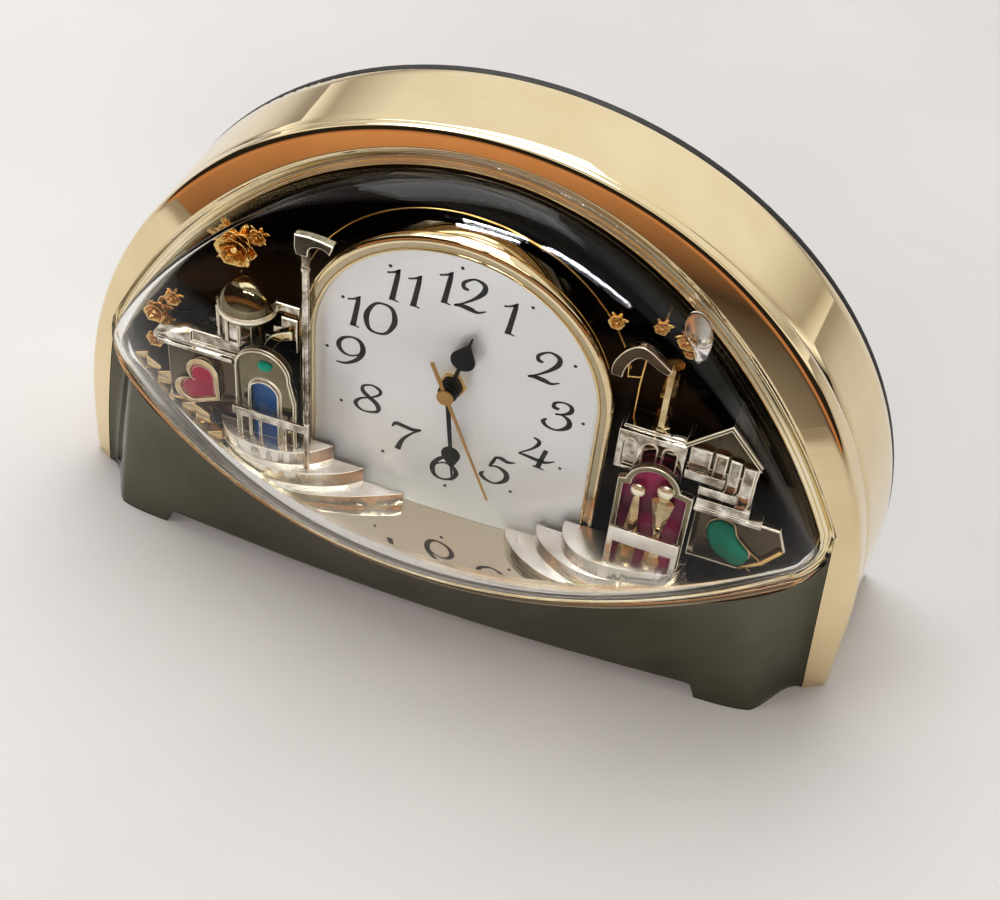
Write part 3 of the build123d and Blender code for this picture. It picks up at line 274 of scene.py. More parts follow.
def finish(name, tones, metal=1.0, rough=(0.05, 0.1), scale=40, bump=0.0, bump_scale=300, **sockets):
    """A surface of two close tones with roughness and a low bump from noise."""
    material = bpy.data.materials.new(name)
    material.use_nodes = True
    nodes, links = material.node_tree.nodes, material.node_tree.links
    shader = nodes["Principled BSDF"]
    place = nodes.new("ShaderNodeTexCoord")
    cloud = nodes.new("ShaderNodeTexNoise")
    cloud.inputs["Scale"].default_value = scale
    cloud.inputs["Detail"].default_value = 4
    links.new(place.outputs["Object"], cloud.inputs["Vector"])
    tint = nodes.new("ShaderNodeValToRGB")
    for stop, place_on_band, tone in zip(tint.color_ramp.elements, TONE_BAND, tones):
        stop.position = place_on_band
        stop.color = (*tone, 1)
    links.new(cloud.outputs["Fac"], tint.inputs["Fac"])
    links.new(tint.outputs["Color"], shader.inputs["Base Color"])
    haze = nodes.new("ShaderNodeMapRange")
    for socket, value in zip(("From Min", "From Max", "To Min", "To Max"), (*TONE_BAND, *rough)):
        haze.inputs[socket].default_value = value
    links.new(cloud.outputs["Fac"], haze.inputs["Value"])
    links.new(haze.outputs["Result"], shader.inputs["Roughness"])
    if bump:
        grain = nodes.new("ShaderNodeTexNoise")
        grain.inputs["Scale"].default_value = bump_scale
        grain.inputs["Detail"].default_value = 2
        relief = nodes.new("ShaderNodeBump")
        relief.inputs["Strength"].default_value = bump
        relief.inputs["Distance"].default_value = GRAIN_DEPTH
        links.new(place.outputs["Object"], grain.inputs["Vector"])
        links.new(grain.outputs["Fac"], relief.inputs["Height"])
        links.new(relief.outputs["Normal"], shader.inputs["Normal"])
    shader.inputs["Metallic"].default_value = metal
    for socket, value in sockets.items():
        shader.inputs[socket.replace("_", " ")].default_value = value
    return material


GILT = finish("gilt plating", ((0.84, 0.69, 0.44), (0.88, 0.74, 0.49)), rough=(0.02, 0.05), bump=0.03,
              bump_scale=90)
# Painted reflection: the panel's gilt mirror is tinted dark to look as if it reflects a dark table.
PANEL_GILT_PAINTED_DARK = finish("front panel plating with painted dark reflection", ((0.135, 0.13, 0.10), (0.17, 0.162, 0.125)), rough=(0.10, 0.16),
                    bump=0.06, bump_scale=120)
SATIN = finish("dial frame plating", ((0.50, 0.44, 0.31), (0.57, 0.50, 0.36)), rough=(0.10, 0.18), bump=0.04)
# Painted highlight: a pale, rougher finish laid only on rounded edges, rims and beads so they read as bright
# lines.
EDGE_PAINTED_HIGHLIGHT = finish("painted highlight edge plating", ((0.96, 0.90, 0.76), (0.98, 0.93, 0.82)), rough=(0.28, 0.36))
EDGE_GILT = finish("bright ledge plating", ((0.95, 0.85, 0.62), (0.97, 0.90, 0.72)), rough=(0.16, 0.24))
SCENE_GILT = finish("pale gilt film", ((0.50, 0.37, 0.19), (0.80, 0.66, 0.42)), rough=(0.03, 0.07),
                    scale=150,
                    bump=0.3, bump_scale=120)
SCENE_SILVER = finish("champagne film", ((0.24, 0.19, 0.13), (0.93, 0.90, 0.83)), rough=(0.03, 0.08),
                      scale=200,
                      bump=0.4, bump_scale=130)
STEP_FILM = finish("step film", ((0.80, 0.75, 0.66), (0.96, 0.94, 0.90)), rough=(0.18, 0.28), scale=70,
                   bump=0.3,
                   bump_scale=60)
OLIVE_FILM = finish("olive gilt film", ((0.15, 0.135, 0.085), (0.30, 0.26, 0.17)), rough=(0.05, 0.10),
                    scale=40,
                    bump=0.15, bump_scale=60)
DARK_GLASS = finish("dark plated glass", ((0.07, 0.062, 0.045), (0.15, 0.13, 0.09)), rough=(0.03, 0.07),
                    scale=90,
                    bump=0.2, bump_scale=70)
TRIM = finish("bright gold trim", ((0.86, 0.58, 0.22), (0.92, 0.66, 0.30)), rough=(0.10, 0.18), bump=0.08)
FLOOR_MIRROR = finish("mirror floor film", ((0.80, 0.75, 0.63), (0.84, 0.79, 0.67)), rough=(0.02, 0.04))
WALL_MIRROR = finish("dark bronze mirror", ((0.007, 0.006, 0.005), (0.010, 0.008, 0.007)),
                     rough=(0.03, 0.06),
                     Specular_IOR_Level=0.1)
SMOKE = finish("smoked mirror plastic", ((0.06, 0.046, 0.032), (0.14, 0.105, 0.070)), rough=(0.05, 0.1),
               scale=50,
               bump=0.08, bump_scale=60)
SILVER = finish("dial silver", ((0.66, 0.68, 0.71), (0.70, 0.72, 0.75)), metal=0.5, rough=(0.30, 0.36),
                scale=25,
                bump=0.03, bump_scale=900, Anisotropic=0.7)
sunburst = SILVER.node_tree.nodes.new("ShaderNodeTangent")
sunburst.direction_type = "RADIAL"
sunburst.axis = "Y"
SILVER.node_tree.links.new(sunburst.outputs["Tangent"],
                           SILVER.node_tree.nodes["Principled BSDF"].inputs["Tangent"])
INK = finish("dial ink", ((0.010, 0.010, 0.012), (0.016, 0.016, 0.018)), metal=0.0, rough=(0.35, 0.45))
HAND_BLACK = finish("hand lacquer", ((0.005, 0.006, 0.007), (0.010, 0.011, 0.012)), metal=0.0,
                    rough=(0.3, 0.4),
                    Specular_IOR_Level=0.3)
HAND_GILT = finish("copper gilt lacquer", ((0.34, 0.20, 0.075), (0.42, 0.26, 0.10)), metal=0.6,
                   rough=(0.35, 0.45))
BRASS = finish("turned brass", ((0.62, 0.43, 0.17), (0.72, 0.52, 0.23)), rough=(0.16, 0.28), bump=0.1)
STEEL = finish("plated steel", ((0.55, 0.55, 0.56), (0.64, 0.64, 0.65)), rough=(0.2, 0.32), bump=0.1)
CELL = finish("cell sleeve", ((0.05, 0.05, 0.055), (0.07, 0.07, 0.075)), metal=0.0, rough=(0.2, 0.3))
BLACK = finish("black moulding", ((0.018, 0.018, 0.018), (0.028, 0.028, 0.028)), metal=0.0,
               rough=(0.45, 0.62),
               scale=120, bump=0.35, bump_scale=1600)
CRIMSON = finish("crimson stone", ((0.16, 0.0, 0.016), (0.36, 0.002, 0.050)), metal=0.0, rough=(0.05, 0.1),
                 scale=22, Specular_IOR_Level=0.3)
GREEN = finish("green stone", ((0.0, 0.075, 0.045), (0.0, 0.260, 0.165)), metal=0.0, rough=(0.05, 0.1),
               scale=30,
               Specular_IOR_Level=0.15)
BLUE = finish("blue resin", ((0.003, 0.022, 0.085), (0.010, 0.075, 0.235)), metal=0.0, rough=(0.06, 0.12),
              scale=30,
              Specular_IOR_Level=0.3)
MAGENTA = finish("magenta foil", ((0.07, 0.0, 0.020), (0.28, 0.002, 0.075)), metal=0.2, rough=(0.1, 0.2),
                 scale=60)


def clear_acrylic():
    """Clear window plastic. Lamps pass straight through it, so that what it covers is well lit."""
    material = finish("clear acrylic", ((0.985, 0.985, 0.975), (0.995, 0.995, 0.99)), metal=0.0,
                      rough=(0.010, 0.016),
                      Transmission_Weight=1.0, IOR=1.22)
    nodes, links = material.node_tree.nodes, material.node_tree.links
    path = nodes.new("ShaderNodeLightPath")
    through = nodes.new("ShaderNodeBsdfTransparent")
    through.inputs["Color"].default_value = CLEAR_TINT
    choose = nodes.new("ShaderNodeMixShader")
    links.new(path.outputs["Is Shadow Ray"], choose.inputs["Fac"])
    links.new(nodes["Principled BSDF"].outputs["BSDF"], choose.inputs[1])
    links.new(through.outputs["BSDF"], choose.inputs[2])
    links.new(choose.outputs["Shader"], nodes["Material Output"].inputs["Surface"])
    return material


ACRYLIC = clear_acrylic()
print("finishes", len(bpy.data.materials))

# %% [markdown]
# ## The case arch
# The case is a half circle on two short legs. The rear band widens a little towards the back, so
# its outline is worked out for each depth. The same outline function also makes the bezel.

# %% Arch outline
CREASE_R, CREASE_Z, CREASE_DEPTH = 146.0, 30.3, 27.2
REAR_R, REAR_Z, REAR_DEPTH = 149.5, 24.8, 64.0
WALL, SEAM = 2.5, 0.2


def arch_line(radius, centre_z, leg=14, arc=150):
    """Points up one leg of the case, over the arch and down the other."""
    right = [(radius, centre_z * i / leg) for i in range(leg)]
    over = [(radius * cos(pi * i / arc), centre_z + radius * sin(pi * i / arc)) for i in range(arc + 1)]
    return right + over + [(-x, z) for x, z in reversed(right)]


def band_row(depth, inset):
    """The band's outline at one depth."""
    share = (depth - CREASE_DEPTH) / (REAR_DEPTH - CREASE_DEPTH)
    radius = CREASE_R + share * (REAR_R - CREASE_R) - inset
    centre = CREASE_Z + share * (REAR_Z - CREASE_Z)
    return [at(x, depth, z) for x, z in arch_line(radius, centre)]


# %% [markdown]
# ## Rear band
# The band is a thin moulded wall. Its section is a long strip with two rounded edges, carried
# round the arch. Rows of points along the strip, closed into a ring, make the whole moulding.

# %% Rear band
NOSE, NOSE_SHARE, STRIPS, TRAY_STATIONS = 0.35, 0.3, 8, 9
front, rear = CREASE_DEPTH + SEAM, REAR_DEPTH
nick = NOSE_SHARE * NOSE
section = [(front, NOSE), (front + nick, nick), (front + NOSE, 0)]
section += [(front + NOSE + (rear - front - 2 * NOSE) * i / STRIPS, 0) for i in range(1, STRIPS + 1)]
section += [(rear - nick, nick), (rear, NOSE), (rear, WALL), (front, WALL)]
band_rows = [band_row(depth, inset) for depth, inset in section]
FLOOR_LOW, FLOOR_HIGH = 7.0, 9.5
tray = [[at(x, d, z) for d, z in ((front, FLOOR_LOW), (rear, FLOOR_LOW), (rear, FLOOR_HIGH),
                                  (front, FLOOR_HIGH))]
        for x in np.linspace(-CREASE_R + WALL, CREASE_R - WALL, TRAY_STATIONS)]
band = solid("rear_band", [skin(band_rows, ring=True, caps=True),
                           skin(tray, around=True, ends=True)], "case", GILT)
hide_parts("rear_shell")
print("band faces", len(band.data.polygons))

# %% [markdown]
# ## The window's outline
# The opening is an eye shape: part of a tall ellipse above, a shallow arc below, and small arcs at
# the corners. The bezel, the panel, the lens, the floor and the wall all follow it, some a little
# inside and some outside, so one function gives it at any outset, always with the same points.

# %% Eye outline
EYE = {"rx": 157.0, "rz": 214.0, "cz": -43.0, "corner_z": 72.0, "low_z": 33.0, "low_x": 125.0,
       "low_end_z": 53.5, "mid_x": 131.6, "mid_z": 61.0}
UPPER, CORNER, LOWER = 132, 18, 96
END_OUT, MID_OUT = (0.45, 0.89), (0.93, 0.37)


def arc_through(a, b, c, count):
    """Points on the circle through three points, from the first to the last."""
    ax, az, bx, bz, cx, cz = *a, *b, *c
    d = 2 * (ax * (bz - cz) + bx * (cz - az) + cx * (az - bz))
    ux = ((ax**2 + az**2) * (bz - cz) + (bx**2 + bz**2) * (cz - az) + (cx**2 + cz**2) * (az - bz)) / d
    uz = ((ax**2 + az**2) * (cx - bx) + (bx**2 + bz**2) * (ax - cx) + (cx**2 + cz**2) * (bx - ax)) / d
    turn = [np.arctan2(z - uz, x - ux) for x, z in (a, b, c)]
    radius = hypot(ax - ux, az - uz)
    first, middle, last = turn
    way = 1 if (middle - first) % (2 * pi) < (last - first) % (2 * pi) else -1
    sweep = way * ((way * (last - first)) % (2 * pi))
    return [(ux + radius * cos(first + sweep * i / count), uz + radius * sin(first + sweep * i / count))
            for i in range(count + 1)]


def eye_line(outset=0.0):
    """The window's outline as a closed run of points, starting at its right corner."""
    rx, rz = EYE["rx"] + outset, EYE["rz"] + outset
    start = asin((EYE["corner_z"] - EYE["cz"]) / rz)
    upper = [(rx * cos(start + (pi - 2 * start) * i / UPPER),
              EYE["cz"] + rz * sin(start + (pi - 2 * start) * i / UPPER))
             for i in range(UPPER + 1)]
    end_x, end_z = EYE["low_x"] + END_OUT[0] * outset, EYE["low_end_z"] - END_OUT[1] * outset
    mid_x, mid_z = EYE["mid_x"] + MID_OUT[0] * outset, EYE["mid_z"] - MID_OUT[1] * outset
    left = arc_through(upper[-1], (-mid_x, mid_z), (-end_x, end_z), CORNER)
    low = arc_through((-end_x, end_z), (0, EYE["low_z"] - outset), (end_x, end_z), LOWER)
    right = arc_through((end_x, end_z), (mid_x, mid_z), upper[0], CORNER)
    return upper[:-1] + left[:-1] + low[:-1] + right[:-1]


BALL = {"r": 290.0, "depth": 258.95, "z": 5.0}


def ball_depth(x, z, radius=BALL["r"]):
    """Depth of the front of the large ball that the rim lies on."""
    return BALL["depth"] - sqrt(radius**2 - x**2 - (z - BALL["z"])**2)


print("outline points", len(eye_line()), "rim depth at foot", round(ball_depth(0, EYE["low_z"]), 1))

# %% [markdown]
# ## Bezel
# The bezel's face is cut from a large ball, and its outer edge rolls over into the side of the
# case. The roll is an arc that meets the ball smoothly, so the depth of the surface at any point
# is either the ball's or the arc's. Knowing that depth, the mesh is just a fine grid laid on it.

# %% Bezel surface
ROLL = 3.8
CROWDING, TOP_COLUMNS, LEG_STEPS, LIP_STEPS = 1.8, 160, 30, 5


def bezel_depth(x, z):
    """Depth of the bezel's face at a point inside the case's outline."""
    if z < CREASE_Z:
        inside, nx, nz = CREASE_R - abs(x), (1 if x > 0 else -1), 0.0
    else:
        reach = hypot(x, z - CREASE_Z)
        inside, nx, nz = CREASE_R - reach, x / reach, (z - CREASE_Z) / reach
    under = sqrt(BALL["r"]**2 - x**2 - (z - BALL["z"])**2)
    slope = max(0.0, (x * nx + (z - BALL["z"]) * nz) / under)
    lean = atan(slope)
    edge = ROLL * (1 - sin(lean))
    if inside >= edge:
        return ball_depth(x, z)
    tx, tz = x - nx * (edge - inside), z - nz * (edge - inside)
    centre = ball_depth(tx, tz) + ROLL * cos(lean)
    return centre - sqrt(max(0.0, ROLL**2 - (ROLL - max(inside, 0.0))**2))


def across(outer, inner, count=16, side=5):
    """A row from the case's side, over the roll and in to the opening."""
    ox, oz = outer
    ix, iz = inner
    start = bezel_depth(ox, oz)
    row = [at(ox, CREASE_DEPTH + (start - CREASE_DEPTH) * i / side, oz) for i in range(side)]
    for i in range(count + 1):
        t = (i / count)**CROWDING
        x, z = ox + (ix - ox) * t, oz + (iz - oz) * t
        row.append(at(x, bezel_depth(x, z), z))
    return row


corner = asin((EYE["corner_z"] - EYE["cz"]) / EYE["rz"])
PANEL_HALF, RETURN_DEPTH = 138.0, 22.0
WINDOW_HALF = EYE["rx"] * cos(corner) - SEAM
shoulder = asin((EYE["corner_z"] - CREASE_Z) / CREASE_R)
top_rows = []
for i in range(TOP_COLUMNS + 1):
    share = i / TOP_COLUMNS
    a = shoulder + (pi - 2 * shoulder) * share
    b = corner + (pi - 2 * corner) * share
    outer = (CREASE_R * cos(a), CREASE_Z + CREASE_R * sin(a))
    inner = (EYE["rx"] * cos(b), EYE["cz"] + EYE["rz"] * sin(b))
    top_rows.append(across(outer, inner))


def seam_half(z):
    """Half the width between the two upright seams of the front panel, at one height."""
    return PANEL_HALF - (PANEL_HALF - WINDOW_HALF) * z / EYE["corner_z"]


def leg_rows(side):
    """The narrow strip beside the front panel, from the table up to the window's corner."""
    rows = []
    for i in range(LEG_STEPS + 1):
        z = EYE["corner_z"] * i / LEG_STEPS
        x = CREASE_R if z < CREASE_Z else sqrt(CREASE_R**2 - (z - CREASE_Z)**2)
        inner = side * (seam_half(z) + SEAM)
        edge = bezel_depth(inner, z)
        lip = [at(inner, edge + (RETURN_DEPTH - edge) * k / LIP_STEPS, z) for k in range(1, LIP_STEPS + 1)]
        rows.append(across((side * x, z), (inner, z)) + lip)
    return rows


bezel = solid("bezel", [skin(top_rows), skin(leg_rows(1)), skin(leg_rows(-1))], "case", GILT,
              merge=0.02)
thicken(bezel, WALL - 0.2)
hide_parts("arch_bezel")
print("bezel faces", len(bezel.data.polygons))

# %% [markdown]
# ## Front panel
# The bowed panel changes from a shallow curve at the foot to a deep one under the window. Each
# curve passes smoothly through a few points, and the panel's face is ruled between the two.
# Its upper edge follows the window, and the foot has a long low cut-out between two feet.

# %% Front panel
PANEL_FOOT = ((0, -18.5), (60, -17.6), (103, -15.8), (122, -13.6), (133, -7.5), (138, 4.0))
PANEL_TOP = ((0, -38.5), (60, -24.5), (103, -4.5), (120, 5.0), (130, 10.8), (138, 16.0))
PANEL_TOP_Z, RIM_GAP = 80.0, 0.15
FLUSH_FROM = 122.0
FOOT_HALF, FOOT_H, FOOT_ROUND = 103.0, 6.0, 3.6
DRAW_IN = 6
FINE, COARSE_STEP, END_RUN, END_STEP, RISE_STEPS, SIDE_STEPS = 1401, 10, 190, 3, 24, 6


def smooth_through(points, count):
    """A natural cubic curve through points, spaced by the distance between them."""
    p = np.array(points, float)
    t = np.concatenate([[0], np.cumsum(np.hypot(*np.diff(p, axis=0).T))])
    n, h = len(p), np.diff(t)
    system, right = np.eye(n), np.zeros((n, p.shape[1]))
    for i in range(1, n - 1):
        system[i, i - 1:i + 2] = h[i - 1], 2 * (h[i - 1] + h[i]), h[i]
        right[i] = 6 * ((p[i + 1] - p[i]) / h[i] - (p[i] - p[i - 1]) / h[i - 1])
    bend = np.linalg.solve(system, right)
    curve = []
    for u in np.linspace(0, t[-1], count):
        i = min(max(int(np.searchsorted(t, u)) - 1, 0), n - 2)
        a, b = t[i + 1] - u, u - t[i]
        curve.append((bend[i] * a**3 + bend[i + 1] * b**3) / (6 * h[i])
                     + (p[i] / h[i] - bend[i] * h[i] / 6) * a
                     + (p[i + 1] / h[i] - bend[i + 1] * h[i] / 6) * b)
    return np.array(curve)


def both_sides(points):
    """A right-hand curve with its mirror image on the left."""
    return [(-x, d) for x, d in reversed(points[1:])] + list(points)


window_low = sorted(p for p in eye_line(RIM_GAP)[UPPER:] if p[1] < EYE["corner_z"])
window_x = [p[0] for p in window_low]
window_z = [p[1] for p in window_low]


def panel_height(x):
    """Where the panel's face ends under the window."""
    if abs(x) > window_x[-1]:
        return EYE["corner_z"] - SEAM
    return min(float(np.interp(x, window_x, window_z)), EYE["corner_z"] - SEAM)


def panel_point(foot, top, z):
    """A point on the panel's face. Towards its ends the face runs flush with the legs."""
    share = z / PANEL_TOP_Z
    x, depth = foot[0] + (top[0] - foot[0]) * share, foot[1] + (top[1] - foot[1]) * share
    limit = seam_half(z)
    x *= 1 - (1 - limit / PANEL_HALF) * (abs(foot[0]) / PANEL_HALF)**DRAW_IN
    near = max(0.0, min(1.0, (abs(x) - FLUSH_FROM) / (limit - FLUSH_FROM)))
    ease = near * near * (3 - 2 * near)
    return x, depth + (bezel_depth(limit, z) + SEAM - depth) * ease, z


def panel_start(x):
    """Where the face starts at the foot: the cut-out has rounded upper corners."""
    over = FOOT_HALF - abs(x)
    if over <= 0:
        return 0.0
    if over >= FOOT_ROUND:
        return FOOT_H
    return FOOT_H - FOOT_ROUND + sqrt(FOOT_ROUND**2 - (FOOT_ROUND - over)**2)


foot_curve = smooth_through(both_sides(PANEL_FOOT), FINE)
top_curve = smooth_through(both_sides(PANEL_TOP), FINE)
picks = set(range(0, FINE, COARSE_STEP)) | {FINE - 1}
picks |= set(range(0, END_RUN, END_STEP)) | set(range(FINE - END_RUN, FINE, END_STEP))
panel_columns = []
for i in sorted(picks):
    foot, top = foot_curve[i], top_curve[i]
    z_high = panel_height(foot[0])
    for again in range(6):
        z_high = panel_height(panel_point(foot, top, z_high)[0])
    z_low = panel_start(foot[0])
    panel_columns.append([panel_point(foot, top, z_low + (z_high - z_low) * k / RISE_STEPS)
                          for k in range(RISE_STEPS + 1)])
sides = []
for column in (panel_columns[0], panel_columns[-1]):
    sides.append([[(x, d + (RETURN_DEPTH - d) * k / SIDE_STEPS, z) for x, d, z in column]
                  for k in range(SIDE_STEPS, 0, -1)])
panel_columns = sides[0] + panel_columns + sides[1][::-1]
# The panel's dark tint is a painted reflection of a dark table, on the same gilt mirror as the case.
panel = solid("front_panel_skin", [skin([[at(*p) for p in column] for column in panel_columns])],
              "case", PANEL_GILT_PAINTED_DARK, keep=40)
thicken(panel, WALL - 0.3)
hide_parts("front_panel")
print("panel faces", len(panel.data.polygons))

# %% [markdown]
# ## The window
# The window is one clear moulding. A thin flange fills the opening, a low riser stands on it, and
# from there a lemon-shaped dome swells forward: a shallow bow turned about a level axis. Rows of
# points run from the flange's back edge, over the riser, to the middle of the dome, and back again
# along the inside, so that the wall has a true thickness and bends light as the real one does.

# %% Domed window
DOME = {"r": 97.0, "bow": 215.0, "depth": 53.02, "z": 80.0}
LENS_T, FLANGE_W, PROUD = 2.2, 4.0, 1.5
FLANGE_BACK = BALL["r"] - WALL - SEAM
LENS_MIDDLE = (0.0, 92.0)
SHOULDER, DOME_RINGS, DOME_CROWDING = 3.6, 26, 1.15
FLANGE_EDGE = ((0.0, 0.4), (0.12, 0.12), (0.4, 0.0))
FLANGE_RINGS = (1.6, 2.8, FLANGE_W - 0.02)


def dome_depth(x, z, inset=0.0):
    """Depth of the dome's face, or of its inner face with an inset."""
    r, bow = DOME["r"] - inset, DOME["bow"] - inset
    section = sqrt(max(bow**2 - x**2, 0.0)) - (bow - r)
    return DOME["depth"] - sqrt(max(section**2 - (z - DOME["z"])**2, 0.0))


def lens_row(outset, depth_of, lift=0.0, share=1.0):
    """The window's outline drawn in towards its middle, laid on a surface."""
    cx, cz = LENS_MIDDLE
    row = []
    for x, z in eye_line(outset):
        px, pz = cx + (x - cx) * share, cz + (z - cz) * share
        row.append(at(px, depth_of(px, pz) + lift, pz))
    return row


def outer_face(x, z):
    """Depth of the window's outside, dome or flange, whichever stands further forward."""
    return min(dome_depth(x, z), ball_depth(x, z, BALL["r"] + PROUD))


def inner_face(x, z):
    """Depth of the window's inside."""
    return min(dome_depth(x, z, LENS_T), ball_depth(x, z, FLANGE_BACK))


def flange_face(x, z):
    """Depth of the flange's front, which stands a little proud of the bezel."""
    return ball_depth(x, z, BALL["r"] + PROUD)


def flange_back(x, z):
    """Depth of the flange's back, which rests on the ledge."""
    return ball_depth(x, z, FLANGE_BACK)


shoulder_arc = [(SHOULDER * (1 - cos(radians(a))), SHOULDER * (1 - sin(radians(a))))
                for a in range(0, 91, 15)]


def on_flange(depth_of, lift, limit):
    """A face set back by some depth, but never behind the flange that it stands on."""
    return lambda x, z: min(depth_of(x, z) + lift, limit(x, z))


shares = [1 - (i / DOME_RINGS)**DOME_CROWDING for i in range(1, DOME_RINGS + 1)]
lens_rows = [lens_row(-RIM_GAP, flange_back)]
lens_rows += [lens_row(-RIM_GAP - inset, flange_face, lift) for inset, lift in FLANGE_EDGE]
lens_rows += [lens_row(-inset, flange_face) for inset in FLANGE_RINGS]
lens_rows += [lens_row(-FLANGE_W - step, on_flange(outer_face, lift, flange_face)) for step,
              lift in shoulder_arc]
lens_rows += [lens_row(-FLANGE_W - SHOULDER, outer_face, 0, share) for share in shares[:-1]]
inside_rows = [lens_row(-FLANGE_W - LENS_T - SHOULDER, inner_face, 0, share)
               for share in reversed(shares[:-1])]
inside_rows += [lens_row(-FLANGE_W - LENS_T - step, on_flange(inner_face, lift, flange_back))
                for step, lift in reversed(shoulder_arc)]
inside_rows += [lens_row(-FLANGE_W - LENS_T, flange_back), lens_row(-FLANGE_RINGS[1], flange_back)]


def pole(depth_of, count):
    """A row whose points all lie at the window's middle."""
    x, z = LENS_MIDDLE
    return [at(x, depth_of(x, z), z) for i in range(count)]


around = len(lens_rows[0])
all_rows = lens_rows + [pole(outer_face, around), pole(inner_face, around)] + inside_rows
points, faces = skin(all_rows, around=True, ring=True)
bridge = len(lens_rows) * around
faces = [f for f in faces if not (bridge <= f[0] < bridge + around)]
lens = solid("domed_window", [(points, faces)], "case", ACRYLIC, keep=42, merge=0.0005)
lens.visible_diffuse = False
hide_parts("lens")
print("window faces", len(lens.data.polygons))

# %% [markdown]
# ## Dark wall
# Behind the dial stands a dark bronze mirror that doubles every plated piece in front of it. It is
# flat in the middle and bends back with the rim. A square hole leaves room for the movement.

# %% Dark wall
WALL_FACE, WALL_T = 7.0, 2.0
WALL_BALL = FLANGE_BACK - SEAM
CUTOUT, WALL_RINGS = 29.0, 16


def wall_face(x, z):
    """Depth of the dark wall: flat in the middle, and on the ball near the rim."""
    return max(WALL_FACE, ball_depth(x, z, WALL_BALL))


def wall_rows(lift, outset, shares):
    """Rings from the rim in to the square hole behind the dial."""
    rim = eye_line(outset)
    rows = []
    for share in shares:
        row = []
        for x, z in rim:
            dx, dz = x, z - DIAL_Z
            reach = CUTOUT / max(abs(dx), abs(dz))
            part = reach + (1 - reach) * share
            px, pz = dx * part, DIAL_Z + dz * part
            row.append(at(px, wall_face(px, pz) + lift, pz))
        rows.append(row)
    return rows


LEDGE_W = 5.4
rings = [i / WALL_RINGS for i in range(WALL_RINGS + 1)]
wall = solid("mirror_wall", [skin(wall_rows(0, -LEDGE_W, rings)
                                  + wall_rows(WALL_T, -LEDGE_W - 0.1, rings)[::-1], around=True, ring=True)],
             "case", WALL_MIRROR, keep=12)
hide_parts("scene_wall")
print("wall faces", len(wall.data.polygons))

# %% [markdown]
# ## Gilt ledge under the window's rim
# The window's clear flange rests on a plated ledge. The ledge is moulded with fine steps, and each
# step's edge shows through the flange as a bright line that runs all round the opening.

# %% Gilt ledge
STEPS, LEDGE_EDGE, STEP_START, LEDGE_END = 4, 0.3, 0.08, 0.1
STEP_LINE = ((0.45, 0.02), (0.58, 0.55), (0.9, 0.6))
ledge_section = [(LEDGE_EDGE, WALL_T), (LEDGE_EDGE, 0.0)]
for i in range(STEPS):
    start = LEDGE_EDGE + (LEDGE_W - LEDGE_EDGE) * i / STEPS
    wide = (LEDGE_W - LEDGE_EDGE) / STEPS
    ledge_section.append((start + STEP_START, 0.0))
    ledge_section += [(start + share * wide, drop) for share, drop in STEP_LINE]
ledge_section += [(LEDGE_W, LEDGE_END), (LEDGE_W, WALL_T)]
ledge_rows = [[at(x, ball_depth(x, z, WALL_BALL) + drop, z) for x, z in eye_line(-inset)] for inset,
              drop in ledge_section]
ledge = solid("gilt_ledge", [skin(ledge_rows, around=True, ring=True)], "case", EDGE_GILT,
              keep=20)
print("ledge faces", len(ledge.data.polygons))

# %% [markdown]
# ## Mirror floor
# The floor is a narrow mirror along the foot of the window, as deep as the space behind the flange.

# %% Mirror floor
LIP_GAP, LEAST_DEPTH, END_TRIM, FLOOR_STEPS = 0.05, 0.3, 0.2, 6
FLOOR_GAP, FLOOR_T, TOUCH = 0.4, 1.6, 0.1
floor_line = sorted(p for p in eye_line(-FLOOR_GAP)[UPPER:] if abs(p[0]) < EYE["low_x"] - END_TRIM)
floor_rows = []
for x, z in floor_line:
    lip = ball_depth(x, z + FLOOR_T, WALL_BALL) + LIP_GAP
    back = max(WALL_FACE - TOUCH, lip + LEAST_DEPTH)
    top = [(lip + (back - lip) * k / FLOOR_STEPS, z + FLOOR_T) for k in range(FLOOR_STEPS + 1)]
    floor_rows.append([at(x, d, h) for d, h in top + [(back, z), (lip, z)]])
mirror = solid("mirror_floor_film", [skin(floor_rows, around=True, ends=True)], "case",
               FLOOR_MIRROR, keep=40)
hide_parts("mirror_floor")
print("floor faces", len(mirror.data.polygons))


def floor_top(x):
    """Height of the mirror floor under a point."""
    return float(np.interp(x, [p[0] for p in floor_line], [p[1] for p in floor_line])) + FLOOR_T


# %% [markdown]
# ## Dial frame
# The frame round the dial is one moulding with three parts: a thin bright bead next to the dial, a
# flat face, and an outer edge that rolls back to the wall. A section with those parts is carried
# up one leg, round the arch and down the other, and each leg is cut to stand on the floor.

# %% Dial frame
ARCH_HALF = 49.5
ARCH_RISE = 53.6
ARCH_SPRING = DIAL_Z + ARCH_RISE - ARCH_HALF
FRAME_W, LEG_POINTS, ARCH_POINTS = 5.2, 20, 90
BRIGHT_BEAD, BRIGHT_ROLL = 1.15, 3.15
frame_section = [(0.0, WALL_FACE - TOUCH), (0.0, -1.9)]
frame_section += [(0.55 - 0.55 * cos(radians(a)), -1.9 - 0.65 * sin(radians(a)))
                  for a in (30, 60, 90, 120, 150)]
frame_section += [(1.12, -1.95), (1.2, -1.85), (2.2, -1.9), (3.1, -2.0), (3.2, -2.12)]
frame_section += [(3.3 + 1.9 * sin(radians(a)), -0.6 - 1.98 * cos(radians(a)))
                  for a in (0, 15, 30, 45, 60, 75, 90)]
frame_section += [(FRAME_W, 1.5), (FRAME_W, 4.0), (FRAME_W, WALL_FACE - TOUCH)]
frame_rows = []
